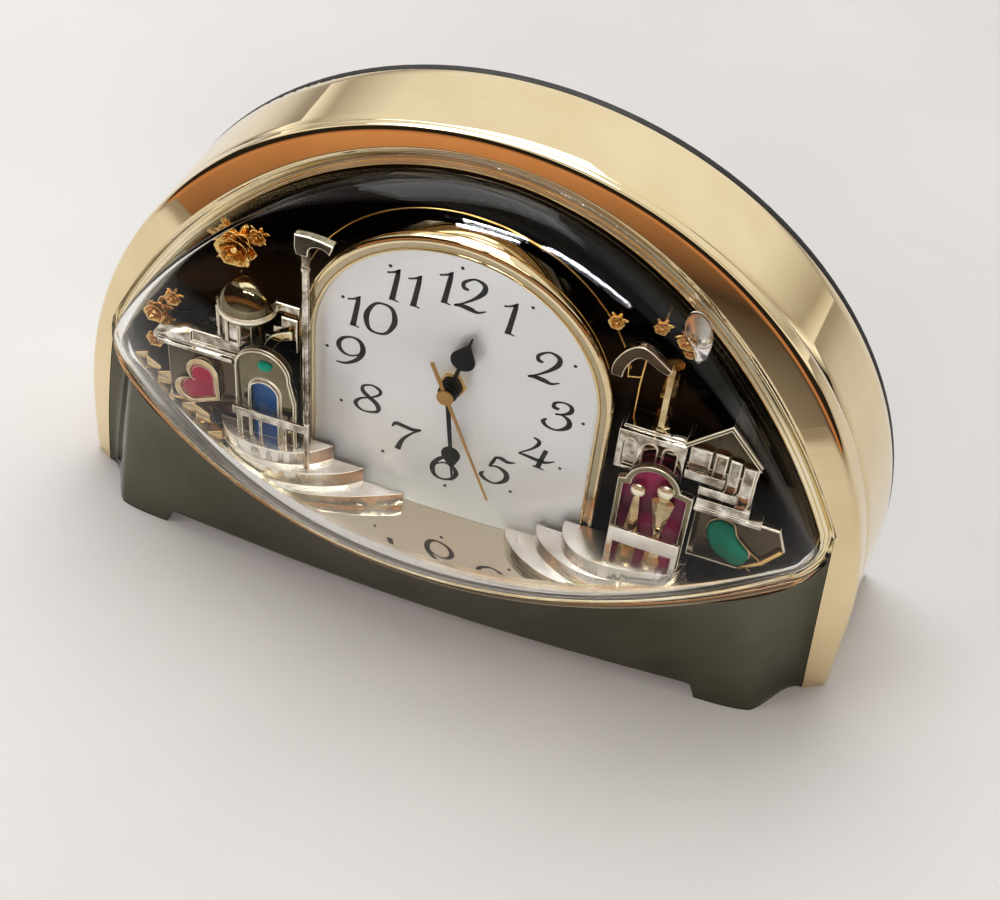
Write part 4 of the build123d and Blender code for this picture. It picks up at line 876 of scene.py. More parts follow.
for out, depth in frame_section:
    radius = ARCH_HALF + out
    foot = floor_top(radius) + TOUCH
    legs = [foot + (ARCH_SPRING - foot) * i / LEG_POINTS for i in range(LEG_POINTS)]
    over = [(radius * cos(pi * i / ARCH_POINTS), ARCH_SPRING + radius * sin(pi * i / ARCH_POINTS))
            for i in range(ARCH_POINTS + 1)]
    line = [(radius, z) for z in legs] + over + [(-radius, z) for z in reversed(legs)]
    frame_rows.append([at(x, depth, z) for x, z in line])
surround = solid("dial_surround", [skin(frame_rows, ring=True, caps=True)], "case", SATIN,
                 keep=28)
surround.data.materials.append(GILT)
for face in surround.data.polygons:
    middle = Vector(face.center) / MM
    out = (abs(middle.x) if middle.z < ARCH_SPRING else hypot(middle.x, middle.z - ARCH_SPRING)) - ARCH_HALF
    if out < BRIGHT_BEAD or out > BRIGHT_ROLL:
        face.material_index = 1
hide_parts("dial_frame")
print("frame faces", len(surround.data.polygons))

# %% [markdown]
# ## Numerals
# The numerals are printed, with the swelling and thinning of a broad pen. A stroke is a run of
# points with a width at each, smoothed into a curve and given a film's thickness. Ten figures are
# drawn once in a box one unit high, and each hour on the dial is one or two of them.

# %% Pen strokes
FIGURES = {
    "0": [[(0.40, 1.0, 0.045), (0.16, 0.90, 0.075), (0.02, 0.50, 0.125), (0.14, 0.10, 0.08),
           (0.38, 0.0, 0.045),
           (0.64, 0.10, 0.075), (0.78, 0.50, 0.125), (0.66, 0.90, 0.08), "shut"]],
    "1": [[(0.30, 0.99, 0.07), (0.30, 0.75, 0.105), (0.29, 0.3, 0.115), (0.28, 0.02, 0.13)],
          [(0.02, 0.83, 0.04), (0.12, 0.86, 0.035), (0.24, 0.92, 0.05), (0.34, 1.02, 0.03)],
          [(0.20, 0.02, 0.03), (0.32, 0.03, 0.035), (0.46, 0.0, 0.02)]],
    "2": [[(0.25, 0.62, 0.05), (0.12, 0.66, 0.08), (0.10, 0.82, 0.075), (0.34, 0.99, 0.04),
           (0.60, 0.90, 0.09),
           (0.63, 0.68, 0.12), (0.46, 0.42, 0.075), (0.20, 0.18, 0.035), (0.0, 0.05, 0.03)],
          [(-0.02, 0.04, 0.04), (0.14, 0.085, 0.09), (0.40, 0.055, 0.11), (0.60, 0.015, 0.06),
           (0.80, 0.12, 0.02)]],
    "3": [[(0.30, 0.73, 0.06), (0.15, 0.76, 0.085), (0.16, 0.91, 0.06), (0.38, 0.99, 0.035),
           (0.58, 0.91, 0.08),
           (0.60, 0.74, 0.105), (0.44, 0.60, 0.05), (0.24, 0.53, 0.03)],
          [(0.24, 0.54, 0.035), (0.44, 0.56, 0.045), (0.64, 0.42, 0.10), (0.64, 0.20, 0.12),
           (0.40, 0.01, 0.045),
           (0.14, 0.04, 0.06), (0.0, 0.18, 0.09), (0.07, 0.30, 0.03)]],
    "4": [[(0.24, 1.02, 0.03), (0.38, 0.97, 0.07), (0.42, 0.84, 0.09), (0.28, 0.60, 0.05),
           (0.0, 0.34, 0.03)],
          [(-0.02, 0.33, 0.04), (0.20, 0.31, 0.07), (0.52, 0.27, 0.09), (0.74, 0.27, 0.07),
           (0.96, 0.40, 0.015)],
          [(0.66, 0.70, 0.10), (0.62, 0.40, 0.105), (0.58, 0.02, 0.12)],
          [(0.44, 0.02, 0.03), (0.58, 0.02, 0.04), (0.76, -0.01, 0.02)]],
    "5": [[(0.22, 0.96, 0.04), (0.38, 0.985, 0.09), (0.58, 0.92, 0.08), (0.78, 0.98, 0.02)],
          [(0.24, 0.97, 0.05), (0.20, 0.78, 0.08), (0.14, 0.58, 0.05)],
          [(0.14, 0.58, 0.035), (0.36, 0.64, 0.05), (0.62, 0.50, 0.11), (0.66, 0.24, 0.12),
           (0.42, 0.01, 0.045),
           (0.14, 0.05, 0.07), (-0.02, 0.20, 0.09), (0.04, 0.32, 0.03)]],
    "6": [[(0.70, 0.97, 0.03), (0.44, 0.94, 0.06), (0.16, 0.72, 0.10), (0.04, 0.40, 0.125),
           (0.14, 0.10, 0.09),
           (0.38, 0.0, 0.045), (0.64, 0.12, 0.08), (0.72, 0.36, 0.11), (0.58, 0.58, 0.07),
           (0.36, 0.64, 0.04),
           (0.16, 0.54, 0.03), (0.06, 0.38, 0.02)]],
    "7": [[(0.02, 0.80, 0.03), (0.10, 0.95, 0.09), (0.34, 0.93, 0.10), (0.60, 0.90, 0.09),
           (0.82, 0.97, 0.05)],
          [(0.80, 0.96, 0.04), (0.58, 0.74, 0.05), (0.38, 0.42, 0.09), (0.30, 0.02, 0.14)]],
    "8": [[(0.36, 0.54, 0.10), (0.16, 0.70, 0.095), (0.14, 0.88, 0.06), (0.36, 0.99, 0.04),
           (0.60, 0.90, 0.075),
           (0.62, 0.74, 0.065), (0.42, 0.56, 0.04), (0.14, 0.42, 0.055), (0.02, 0.22, 0.10),
           (0.14, 0.05, 0.06),
           (0.36, 0.0, 0.04), (0.64, 0.10, 0.08), (0.66, 0.28, 0.11), (0.52, 0.44, 0.105), "shut"]],
}
FIGURE_WIDE = 0.74
FIGURES["9"] = [[(FIGURE_WIDE - x, 1.0 - z, w) for x, z, w in FIGURES["6"][0]]]
FIGURE_WIDTH = {"0": 0.92, "1": 0.56}
PRINT_T, PRINT_FOOT, PEN, PEN_LEAST = 0.05, 0.005, 1.16, 0.012


def pen_curve(points, shut, steps=7):
    """Smooth points between the given ones, by a curve that passes through them all."""
    n = len(points)
    line = []
    for i in range(n if shut else n - 1):
        quad = [points[(i + k) % n] if shut else points[min(max(i + k, 0), n - 1)] for k in (-1, 0, 1, 2)]
        p = np.array(quad, float)
        for s in range(steps):
            t = s / steps
            line.append(0.5 * (2 * p[1] + (p[2] - p[0]) * t + (2 * p[0] - 5 * p[1] + 4 * p[2] - p[3]) * t**2
                               + (3 * p[1] - p[0] - 3 * p[2] + p[3]) * t**3))
    if not shut:
        line.append(np.array(points[-1], float))
    return line


def stroke(points, place, height, slant):
    """A printed stroke: a thin raised ribbon whose width follows the pen."""
    shut = points[-1] == "shut"
    line = pen_curve(points[:-1] if shut else points, shut)
    rows = []
    for i, (x, z, w) in enumerate(line):
        before = line[(i - 1) % len(line)] if shut or i else line[i]
        after = line[(i + 1) % len(line)] if shut or i < len(line) - 1 else line[i]
        dx, dz = after[0] - before[0], after[1] - before[1]
        size = hypot(dx, dz) or 1.0
        w = w * PEN + PEN_LEAST
        nx, nz = -dz / size * w / 2, dx / size * w / 2
        pair = []
        for sx, sz in ((x + nx, z + nz), (x - nx, z - nz)):
            pair.append((place[0] + (sx + slant * (sz - 0.5)) * height, place[1] + (sz - 0.5) * height))
        (ax, az), (bx, bz) = pair
        rows.append([at(ax, -PRINT_T, az), at(bx, -PRINT_T, bz), at(bx, -PRINT_FOOT, bz),
                     at(ax, -PRINT_FOOT, az)])
    points, faces = skin(rows, around=True, ring=shut)
    if not shut:
        faces += [[3, 2, 1, 0], [len(points) - 4 + k for k in range(4)]]
    return points, faces


# %% [markdown]
# ## Hours and dots
# Each hour's place is its middle, across and above the hand axis. The hours sit on a slightly
# squared ring, closer in at two, four, eight and ten, and the dots beyond them lie on an oval.

# %% Dial print
HOUR_PLACES = {1: (17.3, 34.1), 2: (30.5, 19.0), 3: (37.0, 0.1), 4: (30.1, -19.3), 5: (18.1, -33.0),
               6: (-0.6, -38.9),
               7: (-16.6, -31.4), 8: (-29.3, -18.0), 9: (-36.6, 0.5), 10: (-29.2, 18.4), 11: (-18.3, 33.9),
               12: (0.3, 38.9)}
FIGURE_H, FIGURE_SLANT = 12.9, 0.13
DOT_OVAL, DOT_R, DOT_SIDES = (45.0, 48.2), 0.62, 20
DOT_RINGS = ((1, -PRINT_FOOT), (1, -PRINT_T), (0.5, -PRINT_T - 0.01), (0.02, -PRINT_T - 0.01))
prints = []
for hour, (x, z) in HOUR_PLACES.items():
    text = str(hour)
    wide = sum(FIGURE_WIDTH.get(c, FIGURE_WIDE) for c in text)
    left = -wide / 2
    for c in text:
        for line in FIGURES[c]:
            prints.append(stroke(line, (x + left * FIGURE_H, DIAL_Z + z), FIGURE_H, FIGURE_SLANT))
        left += FIGURE_WIDTH.get(c, FIGURE_WIDE)
for hour in range(12):
    turn = radians(30 * hour)
    scale = 1 / hypot(sin(turn) / DOT_OVAL[0], cos(turn) / DOT_OVAL[1])
    cx, cz = scale * sin(turn), DIAL_Z + scale * cos(turn)
    rims = [[at(cx + DOT_R * k * cos(2 * pi * j / DOT_SIDES), d,
                cz + DOT_R * k * sin(2 * pi * j / DOT_SIDES))
             for j in range(DOT_SIDES)] for k, d in DOT_RINGS]
    prints.append(skin(rims, around=True))
solid("dial_print", prints, "case", INK, keep=40)
print("print strokes", len(prints))

# %% [markdown]
# ## Finishes on the frame's own parts
# The smaller parts keep their shapes. A copy of each gets its edges rounded by a tenth or two of a
# millimetre, because a real moulding has no razor edge. On plated parts that rounding takes a pale edge
# finish, a painted highlight that draws the bright lines.

# %% Dress the small parts
DRESS = (
    (("dial_plate",), "dial_silver", SILVER, 0.05),
    (("left_steps", "right_steps"), "gilt_clear", STEP_FILM, 0.35),
    (("left_cornice",), "gilt_clear", SCENE_SILVER, 0.25),
    (("niche", "left_portal"), "gilt_clear", OLIVE_FILM, 0.3),
    (("right_arch",), "gilt_clear", SMOKE, 0.4),
    (("left_house", "right_facade"), "smoked_clear", SMOKE, 0.2),
    (("left_rotunda", "left_rail"), "clear_plated", SCENE_SILVER, 0.22),
    (("right_storey", "right_beams"), "clear_plated", SCENE_SILVER, 0.25),
    (("right_rail",), "clear_plated", STEP_FILM, 0.2),
    (("right_house",), "clear_plated", DARK_GLASS, 0.3),
    (("heart_bezel",), "gilt_trim", SCENE_GILT, 0.4),
    (("right_trim",), "gilt_trim", TRIM, 0.1),
    (("heart_gem",), "crimson_stone", CRIMSON, 0.35),
    (("door_panel",), "blue_glass", BLUE, 0.1),
    (("niche_back",), "magenta_film", MAGENTA, 0.1),
    (("movement_case", "back_cover", "rear_hatch", "setting_knob"), "black_plastic", BLACK, 0.25),
    (("dial_nut", "hour_pipe", "minute_pipe"), "brass_nut", BRASS, 0.08),
    (("battery_cell",), "cell_wrap", CELL, 0.3),
    (("battery_contacts", "cover_screws"), "steel_contact", STEEL, 0.1),
    (("hour_hand", "minute_hand"), "hand_black", HAND_BLACK, 0.08),
    (("second_hand", "second_arbor"), "gilt_trim", HAND_GILT, 0.08),
)
PLAIN = (SILVER, BLACK, BRASS, HAND_GILT, CELL, STEEL, HAND_BLACK, TRIM, MAGENTA)
for nodes, slot, material, bevel in DRESS:
    for node in nodes:
        # Plated parts get the pale edge finish on their rounded edges, a painted highlight.
        dressed(node, material, bevel, edge=None if material in PLAIN else EDGE_PAINTED_HIGHLIGHT)
print("dressed", sum(len(row[0]) for row in DRESS))

# %% [markdown]
# ## Flowers
# A flower is made as a goldsmith would: pointed leaves behind, then rings of cupped petals that
# stand up more towards the middle. A short post behind them carries it all.
# A petal is a small grid whose width swells and closes again, and it's thickened at the end.

# %% Flowers
PETAL_RINGS = ((6, 1.0, 0.35, 0), (5, 0.74, 0.62, 25), (4, 0.46, 0.8, 50))
LEAF_STEP, LEAF_START, PETAL_STEPS, PETAL_END, PETAL_T = 51, 20, 7, 0.985, 0.22
POST_SINK, WALL_REACH = 0.3, 2.5


def petal(root, turn, length, width, lift, cup, waist=0.10):
    """A cupped petal that leaves the flower's middle at an angle and curls forward."""
    x0, depth0, z0 = root
    rows = []
    for i in range(PETAL_STEPS + 1):
        v = i / PETAL_STEPS
        half = width / 2 * sin(pi * (waist + (PETAL_END - waist) * v))**0.8
        row = []
        for j in range(-2, 3):
            out, side = length * v, half * j / 2
            forward = lift * v**1.5 + cup * (j / 2)**2 * sin(pi * v)
            row.append(at(x0 + out * cos(turn) - side * sin(turn), depth0 - forward,
                          z0 + out * sin(turn) + side * cos(turn)))
        rows.append(row)
    return skin(rows)


def flower(x, z, radius, depth, leaves):
    """All the leaves and petals of one flower."""
    root = (x, depth, z)
    shells = [petal(root, radians(LEAF_STEP * k + LEAF_START), 1.35 * radius, 0.5 * radius, 0.1 * radius,
                    -0.1 * radius)
              for k in range(leaves)]
    for count, reach, lift, first in PETAL_RINGS:
        shells += [petal(root, radians(360 * k / count + first), reach * radius, 1.05 * reach * radius,
                         lift * radius, 0.25 * radius) for k in range(count)]
    return shells


LEFT_FLOWERS = ((-111.6, 85, 5.4, 2), (-105, 92.4, 3.4, 3), (-80.4, 121.8, 8.2, 6), (-73.4, 127.4, 3.6, 3),
                (-113, 71, 3.6, 0))
RIGHT_FLOWERS = ((63.4, 141, 2.6, 3), (49.4, 138.4, 2.8, 3), (71.6, 138.4, 3.0, 4), (73.4, 134.6, 2.2, 0))
for name, spots, stands in (("left_flowers", LEFT_FLOWERS, 1.4), ("right_flowers", RIGHT_FLOWERS, 5.0)):
    shells = []
    posts = []
    for x, z, radius, leaves in spots:
        behind = wall_face(x, z)
        root = min(behind, WALL_FACE + WALL_REACH) - stands
        shells += flower(x, z, radius, root, leaves)
        posts.append(wire([(x, root - 0.5 * radius, z), (x, root, z), (x, behind + POST_SINK, z)],
                          0.14 * radius))
    petals = solid(name + "_petals", shells, "case", TRIM, keep=50)
    thicken(petals, PETAL_T)
    carriers = solid(name + "_posts", posts, "case", TRIM)
    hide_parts(name)
    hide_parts(name)
print("flowers", len(LEFT_FLOWERS) + len(RIGHT_FLOWERS))

# %% [markdown]
# ## Column, dome cap and lily
# The left column is a slim turned shaft under a flat capital with a quarter arch cut in it. The
# cap of the round room is a low oval dome: a dark mirror with a rim band in the pale edge finish, partly the
# real rim and partly a painted highlight. The lily is a trumpet whose mouth is cut on a slant, so one side
# rises to a point.

# %% Column, dome cap and lily
COLUMN = (-50.6, -4.6)
SHAFT = ((53.85, 1.6), (55.2, 1.6), (55.4, 1.35), (79.6, 1.35), (79.8, 1.6), (81.2, 1.6), (81.4, 1.35),
         (130.0, 1.2),
         (130.3, 1.6), (131.6, 1.6), (131.9, 1.3), (137.4, 1.5))
FLUTES, FLUTE_DEEP, TURN = 9, 0.07, 36
shaft_turn = [2 * pi * k / TURN for k in range(TURN)]
shaft_rows = [[at(COLUMN[0] + r * (1 + FLUTE_DEEP * cos(FLUTES * a)) * cos(a),
                  COLUMN[1] + r * (1 + FLUTE_DEEP * cos(FLUTES * a)) * sin(a), z) for a in shaft_turn]
              for z, r in SHAFT]
shaft = solid("left_column_shaft", [skin(shaft_rows, around=True, ends=True)], "case",
              SCENE_SILVER)
arch_cut = [(-45.4 + 3.7 * cos(radians(a)), 138.4 + 3.0 * sin(radians(a))) for a in range(20, 181, 20)]
capital_line = [(-53.2, 136.6), (-53.9, 139.5), (-53.7, 144.2), (-49.0, 144.6), (-44.5, 144.2),
                (-40.6, 143.4),
                (-41.0, 141.6)] + arch_cut + [(-49.3, 136.6)]
capital = plate("left_column_capital", capital_line, -6.2, -3.2, 0.35, DARK_GLASS, EDGE_PAINTED_HIGHLIGHT)
for piece in (shaft, capital):
    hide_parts("left_column")

CAP = (-72.6, -2.4, 105.4)
CAP_HALF, CAP_DEEP, CAP_H, CAP_TURN = 10.2, 9.4, 11.0, 48
CAP_LINE = ((0.78, -0.23), (0.80, -0.05), (0.93, 0.0), (1.0, 0.0), (1.0, 0.08), (0.97, 0.14), (0.94, 0.16),
            (0.93, 0.30), (0.88, 0.46), (0.80, 0.60), (0.69, 0.73), (0.55, 0.84), (0.38, 0.93), (0.20, 0.98),
            (0.05, 1.0))
COLLAR_LOW, COLLAR_SHARE = 0.1, 0.17
cap_turn = [2 * pi * k / CAP_TURN for k in range(CAP_TURN)]
cap_rows = []
for wide, high in CAP_LINE:
    cap_rows.append([at(CAP[0] + CAP_HALF * wide * cos(a), CAP[1] + CAP_DEEP * wide * sin(a),
                        CAP[2] + CAP_H * high)
                     for a in cap_turn])
cap = solid("left_dome_cap", [skin(cap_rows, around=True, ends=True)], "case", OLIVE_FILM,
            keep=40)
# The collar band takes the pale edge finish: partly the cap's real rim, partly a painted highlight.
cap.data.materials.append(EDGE_PAINTED_HIGHLIGHT)
for face in cap.data.polygons:
    if CAP[2] - COLLAR_LOW < face.center.z / MM < CAP[2] + COLLAR_SHARE * CAP_H:
        face.material_index = 1
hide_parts("left_dome")

LILY = (76.4, 2.6, 134.0)
LILY_TIP, LILY_RINGS, LILY_SIDES, LILY_T = 2.2, 11, 28, 0.3
lily_rows = []
for i in range(LILY_RINGS + 1):
    v = i / LILY_RINGS
    flare = 1.1 + 3.3 * v**0.8
    row = []
    for k in range(LILY_SIDES):
        a = 2 * pi * k / LILY_SIDES
        rise = v * (6.0 + 8.0 * (0.5 + 0.5 * cos(a - LILY_TIP))**1.5)
        row.append(at(LILY[0] + flare * cos(a) - 1.8 * v * v, LILY[1] + 0.8 * flare * sin(a) + 2.4 * v,
                      LILY[2] + rise))
    lily_rows.append(row)
lily = solid("lily", [skin(lily_rows, around=True)], "case", STEP_FILM, keep=60)
thicken(lily, LILY_T)
lily_post = solid("lily_post", [wire([(LILY[0], LILY[1], LILY[2] + 2.4),
                                      (LILY[0], LILY[1] + 0.4, LILY[2] - 0.6),
                                      (LILY[0], LILY[1] + 3.0, LILY[2] - 1.6),
                                      (LILY[0], wall_face(LILY[0], LILY[2]) + 0.3, LILY[2] - 1.6)], 0.85)],
                  "case", SCENE_SILVER)
for piece in (lily, lily_post):
    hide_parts("right_bell")
print("column, cap and lily faces", len(shaft.data.polygons), len(cap.data.polygons),
      len(lily.data.polygons))

# %% [markdown]
# ## Small faceted pieces
# The right column and the two figures in the niche are moulded with flat facets, because flat
# facets of plated plastic flash as you move. Each is a stack of rings with few corners, and the
# ring radii are all that changes. The figures are plain cones with ball heads.

# %% Faceted pieces
def faceted(name, spot, rings, corners, material, squash=1.0, keep=10):
    """A stack of many-sided rings about an upright axis: each ring is a height and a radius."""
    x, depth, z = spot
    rows = [[at(x + r * cos(2 * pi * (k + 0.5) / corners),
                depth + squash * r * sin(2 * pi * (k + 0.5) / corners), z + h)
             for k in range(corners)] for h, r in rings]
    return solid(name, [skin(rows, around=True, ends=True)], "case", material, keep)


def ball_rings(foot, radius, count=10):
    """Rings for a ball that starts at this height."""
    return [(foot + radius - radius * cos(pi * (i + 0.35) / count), radius * sin(pi * (i + 0.35) / count))
            for i in range(count)]


FIGURE_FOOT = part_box("figure_left")[0].z / MM
GOWN = [(0.0, 3.0), (2.0, 3.2), (26.0, 1.2), (28.0, 0.8)]
COAT = [(0.0, 3.2), (9.6, 1.2), (10.6, 1.9), (11.8, 1.1), (13.6, 1.3), (29.0, 4.2), (30.0, 3.2), (30.4, 0.9)]
for name, node, spot, body_rings, head in (
        ("left_figure", "figure_left", (68.0, -8.6, FIGURE_FOOT), GOWN, 2.8),
        ("right_figure", "figure_right", (76.8, -8.6, FIGURE_FOOT), COAT, 3.0)):
    neck = body_rings[-1][0]
    body_piece = faceted(name + "_body", spot, body_rings, 8, SCENE_GILT, squash=0.55)
    head_piece = faceted(name + "_head", (spot[0], spot[1], spot[2] + neck - 0.4), ball_rings(0, head), 20,
                         EDGE_GILT, squash=0.75, keep=40)
    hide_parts(node)
    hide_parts(node)

RIGHT_COLUMN = (70.1, 0.0, 105.4)
COLUMN_R = [(0, 3.1), (1.6, 3.1), (1.8, 2.5), (23.4, 2.6), (24.0, 3.0), (26.8, 3.3)]
column = faceted("right_column_shaft", RIGHT_COLUMN, COLUMN_R, 8, SCENE_GILT)
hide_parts("right_column")
print("column faces", len(column.data.polygons))

# %% [markdown]
# ## Stones
# A stone is a cushion: its outline is drawn in towards its middle in steps while it rises, like a
# cut gem seen from the front, and the flat steps between the rings catch separate lights.

# %% Stones
def cut_stone(name, outline, middle, back, rise, steps, material):
    """A gem from an outline, with rings drawn in by a share and raised towards the front."""
    rows = [[at(middle[0] + (x - middle[0]) * share, back - rise * up, middle[1] + (z - middle[1]) * share)
             for x, z in outline] for share, up in steps]
    return solid(name, [skin(rows, around=True, ends=True)], "case", material, keep=12)


STONE_STEPS = ((0.98, 0.0), (1.0, 0.12), (0.99, 0.72), (0.90, 0.92), (0.70, 1.0))
BEAN = ((91.8, 72), (94.5, 76.8), (99.9, 76.4), (102, 71.5), (107.2, 65.4), (104, 59.8), (95.5, 63.6))
BEAN_MIDDLE, BEAN_BACK, BEAN_RISE = (99.5, 68.3), -2.6, 2.3
bean_line = [(p[0], p[1]) for p in pen_curve([(x, z, 0) for x, z in BEAN], True, steps=8)]
bean_stone = cut_stone("bean_stone", bean_line, BEAN_MIDDLE, BEAN_BACK, BEAN_RISE, STONE_STEPS,
                       GREEN)
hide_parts("kidney_gem")
bean_rim = solid("bean_rim", [wire([(x, -2.9, z) for x, z in bean_line], 0.45, shut=True)], "case",
                 SCENE_GILT, keep=60)
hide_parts("kidney_bezel")
oval_low, oval_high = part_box("oval_gem")
OVAL = ((oval_low.x + oval_high.x) / 2 / MM, (oval_low.z + oval_high.z) / 2 / MM)
OVAL_BACK = oval_high.y / MM - DIAL_Y
OVAL_HALF, OVAL_RISE, OVAL_SIDES = (2.7, 2.0), 1.4, 16
OVAL_STEPS = ((1.0, 0.0), (1.0, 0.3), (0.72, 0.9), (0.4, 1.0))
oval_turn = [2 * pi * k / OVAL_SIDES for k in range(OVAL_SIDES)]
oval_line = [(OVAL[0] + OVAL_HALF[0] * cos(a), OVAL[1] + OVAL_HALF[1] * sin(a)) for a in oval_turn]
oval_stone = cut_stone("oval_stone", oval_line, OVAL, OVAL_BACK, OVAL_RISE, OVAL_STEPS, GREEN)
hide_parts("oval_gem")
print("stones", len(bean_stone.data.polygons), len(oval_stone.data.polygons))

# %% [markdown]
# ## Roof terrace and garden
# Behind the portal a plated roof terrace steps up like a small stair with a sloping arch beside it,
# and in the window's left corner lies a low gilt garden of slanted blocks.

# %% Terrace and garden
stair = [(-67.2, 90.0), (-67.2, 94.6), (-64.2, 94.6), (-64.2, 99.4), (-61.2, 99.4), (-61.2, 104.2),
         (-55.2, 104.2),
         (-55.2, 90.0)]
upper = [(-63.8, 104.2), (-63.8, 108.4), (-55.2, 108.4), (-55.2, 104.2)]
slope = arc_through((-66.8, 90.2), (-63.6, 97.2), (-56.0, 101.2), 8)
slope += arc_through((-56.0, 97.6), (-60.6, 95.2), (-63.0, 90.2), 8)
terrace = [plate("terrace_stair", stair, -1.2, 6.9, 0.5, SCENE_SILVER, EDGE_PAINTED_HIGHLIGHT),
           plate("terrace_top", upper, 0.4, 6.9, 0.5, SCENE_SILVER, EDGE_PAINTED_HIGHLIGHT),
           plate("terrace_arch", slope, -4.0, -1.1, 0.5, SCENE_GILT, EDGE_PAINTED_HIGHLIGHT)]
for piece in terrace:
    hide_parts("left_terrace")
BLOCKS, FIRST_BLOCK, BLOCK_PITCH, BLOCK_SINK, BLOCK_GAP, BLOCK_DEEP = 7, -120.5, 6.2, 0.2, 0.7, 4.0
for i in range(BLOCKS):
    x = FIRST_BLOCK + BLOCK_PITCH * i
    z = floor_top(x) - BLOCK_SINK
    lean = 1.6 if i % 2 else -1.2
    high = 7.0 + 1.8 * (i % 3)
    block = [(x - 3.2, z), (x + 3.2, z), (x + 2.6, z + high - lean), (x, z + high),
             (x - 2.8, z + high + lean)]
    near = max(ball_depth(px, pz, WALL_BALL) for px, pz in block) + BLOCK_GAP
    plate("garden_block", block, near, near + BLOCK_DEEP, 0.4, SCENE_GILT, TRIM)
print("terrace plates", len(terrace), "garden blocks", BLOCKS)

# %% [markdown]
# ## Bright outlines
# Fine beads run round the doors, windows, arches and gems, and a few thin gilt rods stand on the
# right. Each bead touches the moulding it outlines. The beads are real raised outlines, and their pale edge
# finish is a painted highlight.

# %% Bright outlines
PORTAL_FACE, PORTAL_FOOT, DOOR_FACE = -9.5, 54.2, -10.1
BAY_FRONT, BAY_BACK, EAVES_FACE, FACADE_FACE = -5.6, -3.9, -6.5, -2.6


def flat_run(points, depth):
    """Points across and above, laid at one depth."""
    return [(x, depth, z) for x, z in points]


portal_head = flat_run(arc_through((-74.4, 84), (-65, 93.7), (-55.2, 83.5), 24), PORTAL_FACE)
portal_bead = portal_head + flat_run([(-53.1, 74), (-53.1, PORTAL_FOOT)], PORTAL_FACE)
beads = [wire(portal_bead, 0.32), wire(flat_run([(-74.4, 84), (-74.4, PORTAL_FOOT)], PORTAL_FACE), 0.3),
         wire(round_head(-64, 5.4, PORTAL_FOOT, 75.5, DOOR_FACE), 0.34)]
ROTUNDA, BEAD_LIFT = (-77, 3.5, 9.2), 0.1
for turn in (-56, -28, 0, 28):
    frame_line = []
    for u, depth, z in round_head(0, 1.9, 90.6, 98.8, 0):
        a = radians(turn) + u / ROTUNDA[2]
        reach = ROTUNDA[2] + BEAD_LIFT
        frame_line.append((ROTUNDA[0] + reach * sin(a), ROTUNDA[1] - reach * cos(a), z))
    beads.append(wire(frame_line, 0.28))
beads.append(wire([(-102.4, -4.1, 81.4), (-75.4, -4.1, 81.4)], 0.3))
for x in (62, 68.6, 75.2):
    beads.append(wire(round_head(x, 2.4, 89.2, 99.4, -5.0), 0.26))
BAYS = ((81.2, 88.4, 98.4, 106.6), (89.2, 93.6, 91.6, 106.6), (94.2, 98.2, 85.0, 105.6),
        (98.8, 103.0, 85.0, 104.6))
for left, right, low, high in BAYS:
    bay = plate("house_bay", [(left, low), (right, low), (right, high), (left, high)], BAY_FRONT, BAY_BACK,
                0.6,
                SCENE_SILVER, EDGE_PAINTED_HIGHLIGHT)
    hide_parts("right_house")
roof = flat_run([(79.8, 108.2), (92.3, 119.9), (104.0, 106.9)], EAVES_FACE)
eaves = flat_run([(79.8, 106.8), (92.3, 118.5), (104.0, 105.4)], EAVES_FACE)
beads += [wire(roof, 0.35), wire(eaves, 0.28), wire([(80.9, -4.2, 98.2), (103.3, -4.2, 98.2)], 0.3),
          wire([(103.3, -4.2, 84.4), (103.3, -4.2, 106.6)], 0.34)]
facade = flat_run([(87.0, 56.4), (104, 56.9), (111.7, 62.3), (117.5, 71), (114.7, 78.9), (87.0, 78.9)],
                  FACADE_FACE)
beads.append(wire(facade, 0.3, shut=True))
# The beads' pale edge finish is a painted highlight on real raised outlines.
solid("scenery_outlines", beads, "case", EDGE_PAINTED_HIGHLIGHT, keep=60)
rods = [wire([(60.6, 0.6, 105.2), (60.6, 0.6, 120), (61.6, 0.4, 136)], 0.36),
        wire([(56.0, 0.6, 127.2), (56.4, 0.6, 121.5), (60.6, 0.6, 122.6)], 0.3),
        wire([(108.8, -2.9, 57.9), (96.0, -3.0, 66.0)], 0.26),
        wire([(112.4, -2.9, 62.6), (100.0, -3.0, 72.0)], 0.26)]
thin_rods = solid("thin_rods", rods, "case", TRIM, keep=60)
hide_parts("right_rods")
ARC_R, ARC_FROM, ARC_SINK, ARC_STEPS = 59.1, 0.32, 0.15, 70
wall_line = [(ARC_R * cos(a), WALL_FACE - ARC_SINK, ARCH_SPRING + ARC_R * sin(a))
             for a in np.linspace(ARC_FROM, pi - ARC_FROM, ARC_STEPS)]
wall_wire = solid("wall_line", [wire(wall_line, 0.3, sides=6)], "case", TRIM, keep=60)
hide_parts("wall_arc")
print("outlines", len(beads), "rods", len(rods))

# %% [markdown]
# ## Floor, room and lamps
# The stage is plain: a pale floor, and soft lamps overhead, at the left and in front. Mirror plating
# only shows what is around it, so the room is a gradient from front to back, with a warm band, a
# dark band and a pale ceiling. Three pairs of narrow tubes light the window alone, so that they
# draw their streaks on the dome and nothing else gets brighter.

# %% Stage
FLOOR_LINES = (-3, -1, 1, 3)
ROOM_AXIS = (0.0, 0.8, 0.6)


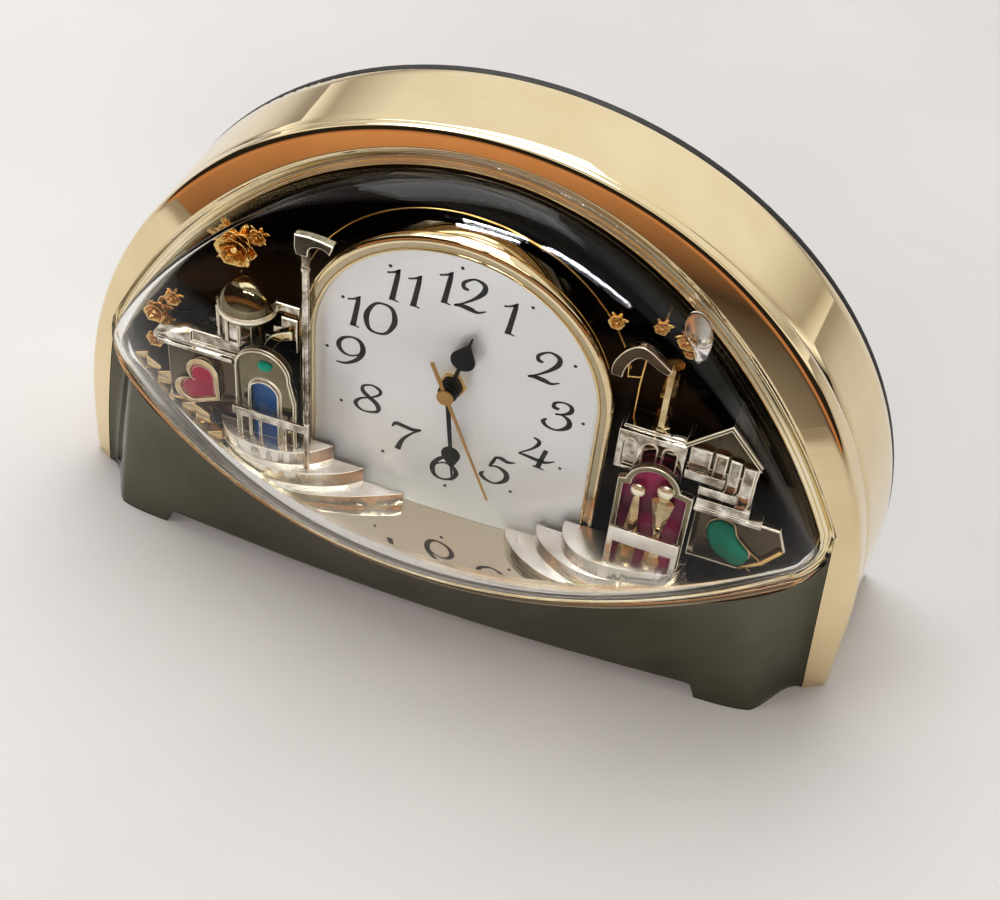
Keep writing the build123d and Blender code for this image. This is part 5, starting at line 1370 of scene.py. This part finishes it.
def pale_floor():
    """A wide pale table top, not part of the clock."""
    rows = [[Vector((x, y, 0)) for x in FLOOR_LINES] for y in FLOOR_LINES]
    points, faces = skin(rows)
    mesh = bpy.data.meshes.new("table_top")
    mesh.from_pydata(points, [], faces)
    table = bpy.data.objects.new("table_top", mesh)
    bpy.context.scene.collection.objects.link(table)
    table.data.materials.append(finish("pale table", ((0.70, 0.70, 0.70), (0.74, 0.74, 0.74)), metal=0.0,
                                       rough=(0.7, 0.8), scale=6))
    table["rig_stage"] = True


def softbox(name, place, aim, size, power, mirrored=True, only=None):
    """A rectangular lamp that faces a point. It can be kept out of the plating, or light one group only."""
    lamp = bpy.data.lights.new(name, "AREA")
    lamp.shape = "RECTANGLE"
    lamp.size, lamp.size_y = size
    lamp.energy = power
    box = bpy.data.objects.new(name, lamp)
    box.location = place
    box.rotation_euler = (Vector(aim) - Vector(place)).to_track_quat("-Z", "Y").to_euler()
    box.visible_glossy = mirrored
    box.visible_transmission = mirrored
    if only:
        box.light_linking.receiver_collection = only
    bpy.context.scene.collection.objects.link(box)


def studio_room(stops, strength):
    """A room that changes from in front, through overhead, to behind: each stop is a place and a tone."""
    world = bpy.data.worlds.new("room")
    world.use_nodes = True
    nodes, links = world.node_tree.nodes, world.node_tree.links
    ground = nodes["Background"]
    place = nodes.new("ShaderNodeTexCoord")
    along = nodes.new("ShaderNodeVectorMath")
    along.operation = "DOT_PRODUCT"
    along.inputs[1].default_value = ROOM_AXIS
    spread = nodes.new("ShaderNodeMapRange")
    spread.inputs["From Min"].default_value = -1.0
    ramp = nodes.new("ShaderNodeValToRGB")
    steps = ramp.color_ramp.elements
    while len(steps) < len(stops):
        steps.new(0.5)
    for step, (height, tone) in zip(steps, stops):
        step.position = height
        step.color = (*tone, 1)
    links.new(place.outputs["Generated"], along.inputs[0])
    links.new(along.outputs["Value"], spread.inputs["Value"])
    links.new(spread.outputs["Result"], ramp.inputs["Fac"])
    links.new(ramp.outputs["Color"], ground.inputs["Color"])
    ground.inputs["Strength"].default_value = strength
    bpy.context.scene.world = world


ROOM = ((0.0, (0.55, 0.54, 0.52)), (0.16, (0.42, 0.40, 0.37)), (0.27, (0.10, 0.07, 0.05)),
        (0.36, (0.72, 0.36, 0.18)),
        (0.44, (0.42, 0.20, 0.10)), (0.50, (0.03, 0.025, 0.02)), (0.74, (0.04, 0.035, 0.03)),
        (0.79, (1.3, 1.28, 1.22)),
        (0.83, (0.50, 0.46, 0.40)), (0.90, (0.95, 0.94, 0.90)), (1.0, (1.0, 0.99, 0.96)))
LAMP_AIM = (0, 0, 0.1)
TUBES = ((-0.22, -0.33), (0.23, -0.28), (0.55, -0.28))
TUBE_SHIFTS, TUBE_LEAN = (-0.04, 0.04), (0.5, 0.87)
TUBE_HEIGHT, TUBE_SIZE, TUBE_POWER = 1.5, (0.34, 0.03), 12
pale_floor()
studio_room(ROOM, 0.8)
softbox("overhead", (-0.30, 0.55, 1.2), LAMP_AIM, (1.2, 0.7), 8)
softbox("left", (-1.2, -0.6, 0.9), LAMP_AIM, (0.7, 0.9), 5, mirrored=False)
softbox("front", (0.3, -1.4, 0.55), LAMP_AIM, (0.9, 0.5), 9, mirrored=False)
window_only = bpy.data.collections.new("window only")
window_only.objects.link(lens)
for x, y in TUBES:
    for k in TUBE_SHIFTS:
        spot = (x - TUBE_LEAN[0] * k, y - TUBE_LEAN[1] * k)
        softbox("tube", (*spot, TUBE_HEIGHT), (*spot, 0), TUBE_SIZE, TUBE_POWER, only=window_only)
scene = bpy.context.scene
scene.view_settings.view_transform = "Standard"
scene.view_settings.look = "Medium High Contrast"
print("lamps", len(bpy.data.lights))

# %% [markdown]
# ## Camera
# The camera looks down on the clock from a little to the right, turned a few degrees about its own
# axis. A long lens keeps the arch's round shape.

# %% Camera
CAMERA_PLACE = Vector((0.1186, -0.3817, 0.4519))
CAMERA_AIM = Vector((0.01834, -0.0118, 0.0737))
CAMERA_ROLL, FOCAL, SENSOR, NEAR = 6.6, 57.6, 36, 0.01
lens_data = bpy.data.cameras.new("camera")
lens_data.lens = FOCAL
lens_data.sensor_width = SENSOR
lens_data.clip_start = NEAR
camera = bpy.data.objects.new("camera", lens_data)
bpy.context.scene.collection.objects.link(camera)
aimed = (CAMERA_AIM - CAMERA_PLACE).to_track_quat("-Z", "Y").to_matrix().to_4x4()
camera.matrix_world = Matrix.Translation(CAMERA_PLACE) @ aimed @ Matrix.Rotation(radians(CAMERA_ROLL), 4,
                                                                                 "Z")
bpy.context.scene.camera = camera
print("camera", [round(v, 3) for v in CAMERA_PLACE])

# %% [markdown]
# ## Size
# The box round everything is measured again and printed.

low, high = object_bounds()
print("box", [round(v / MM, 2) for v in (*low, *high)])
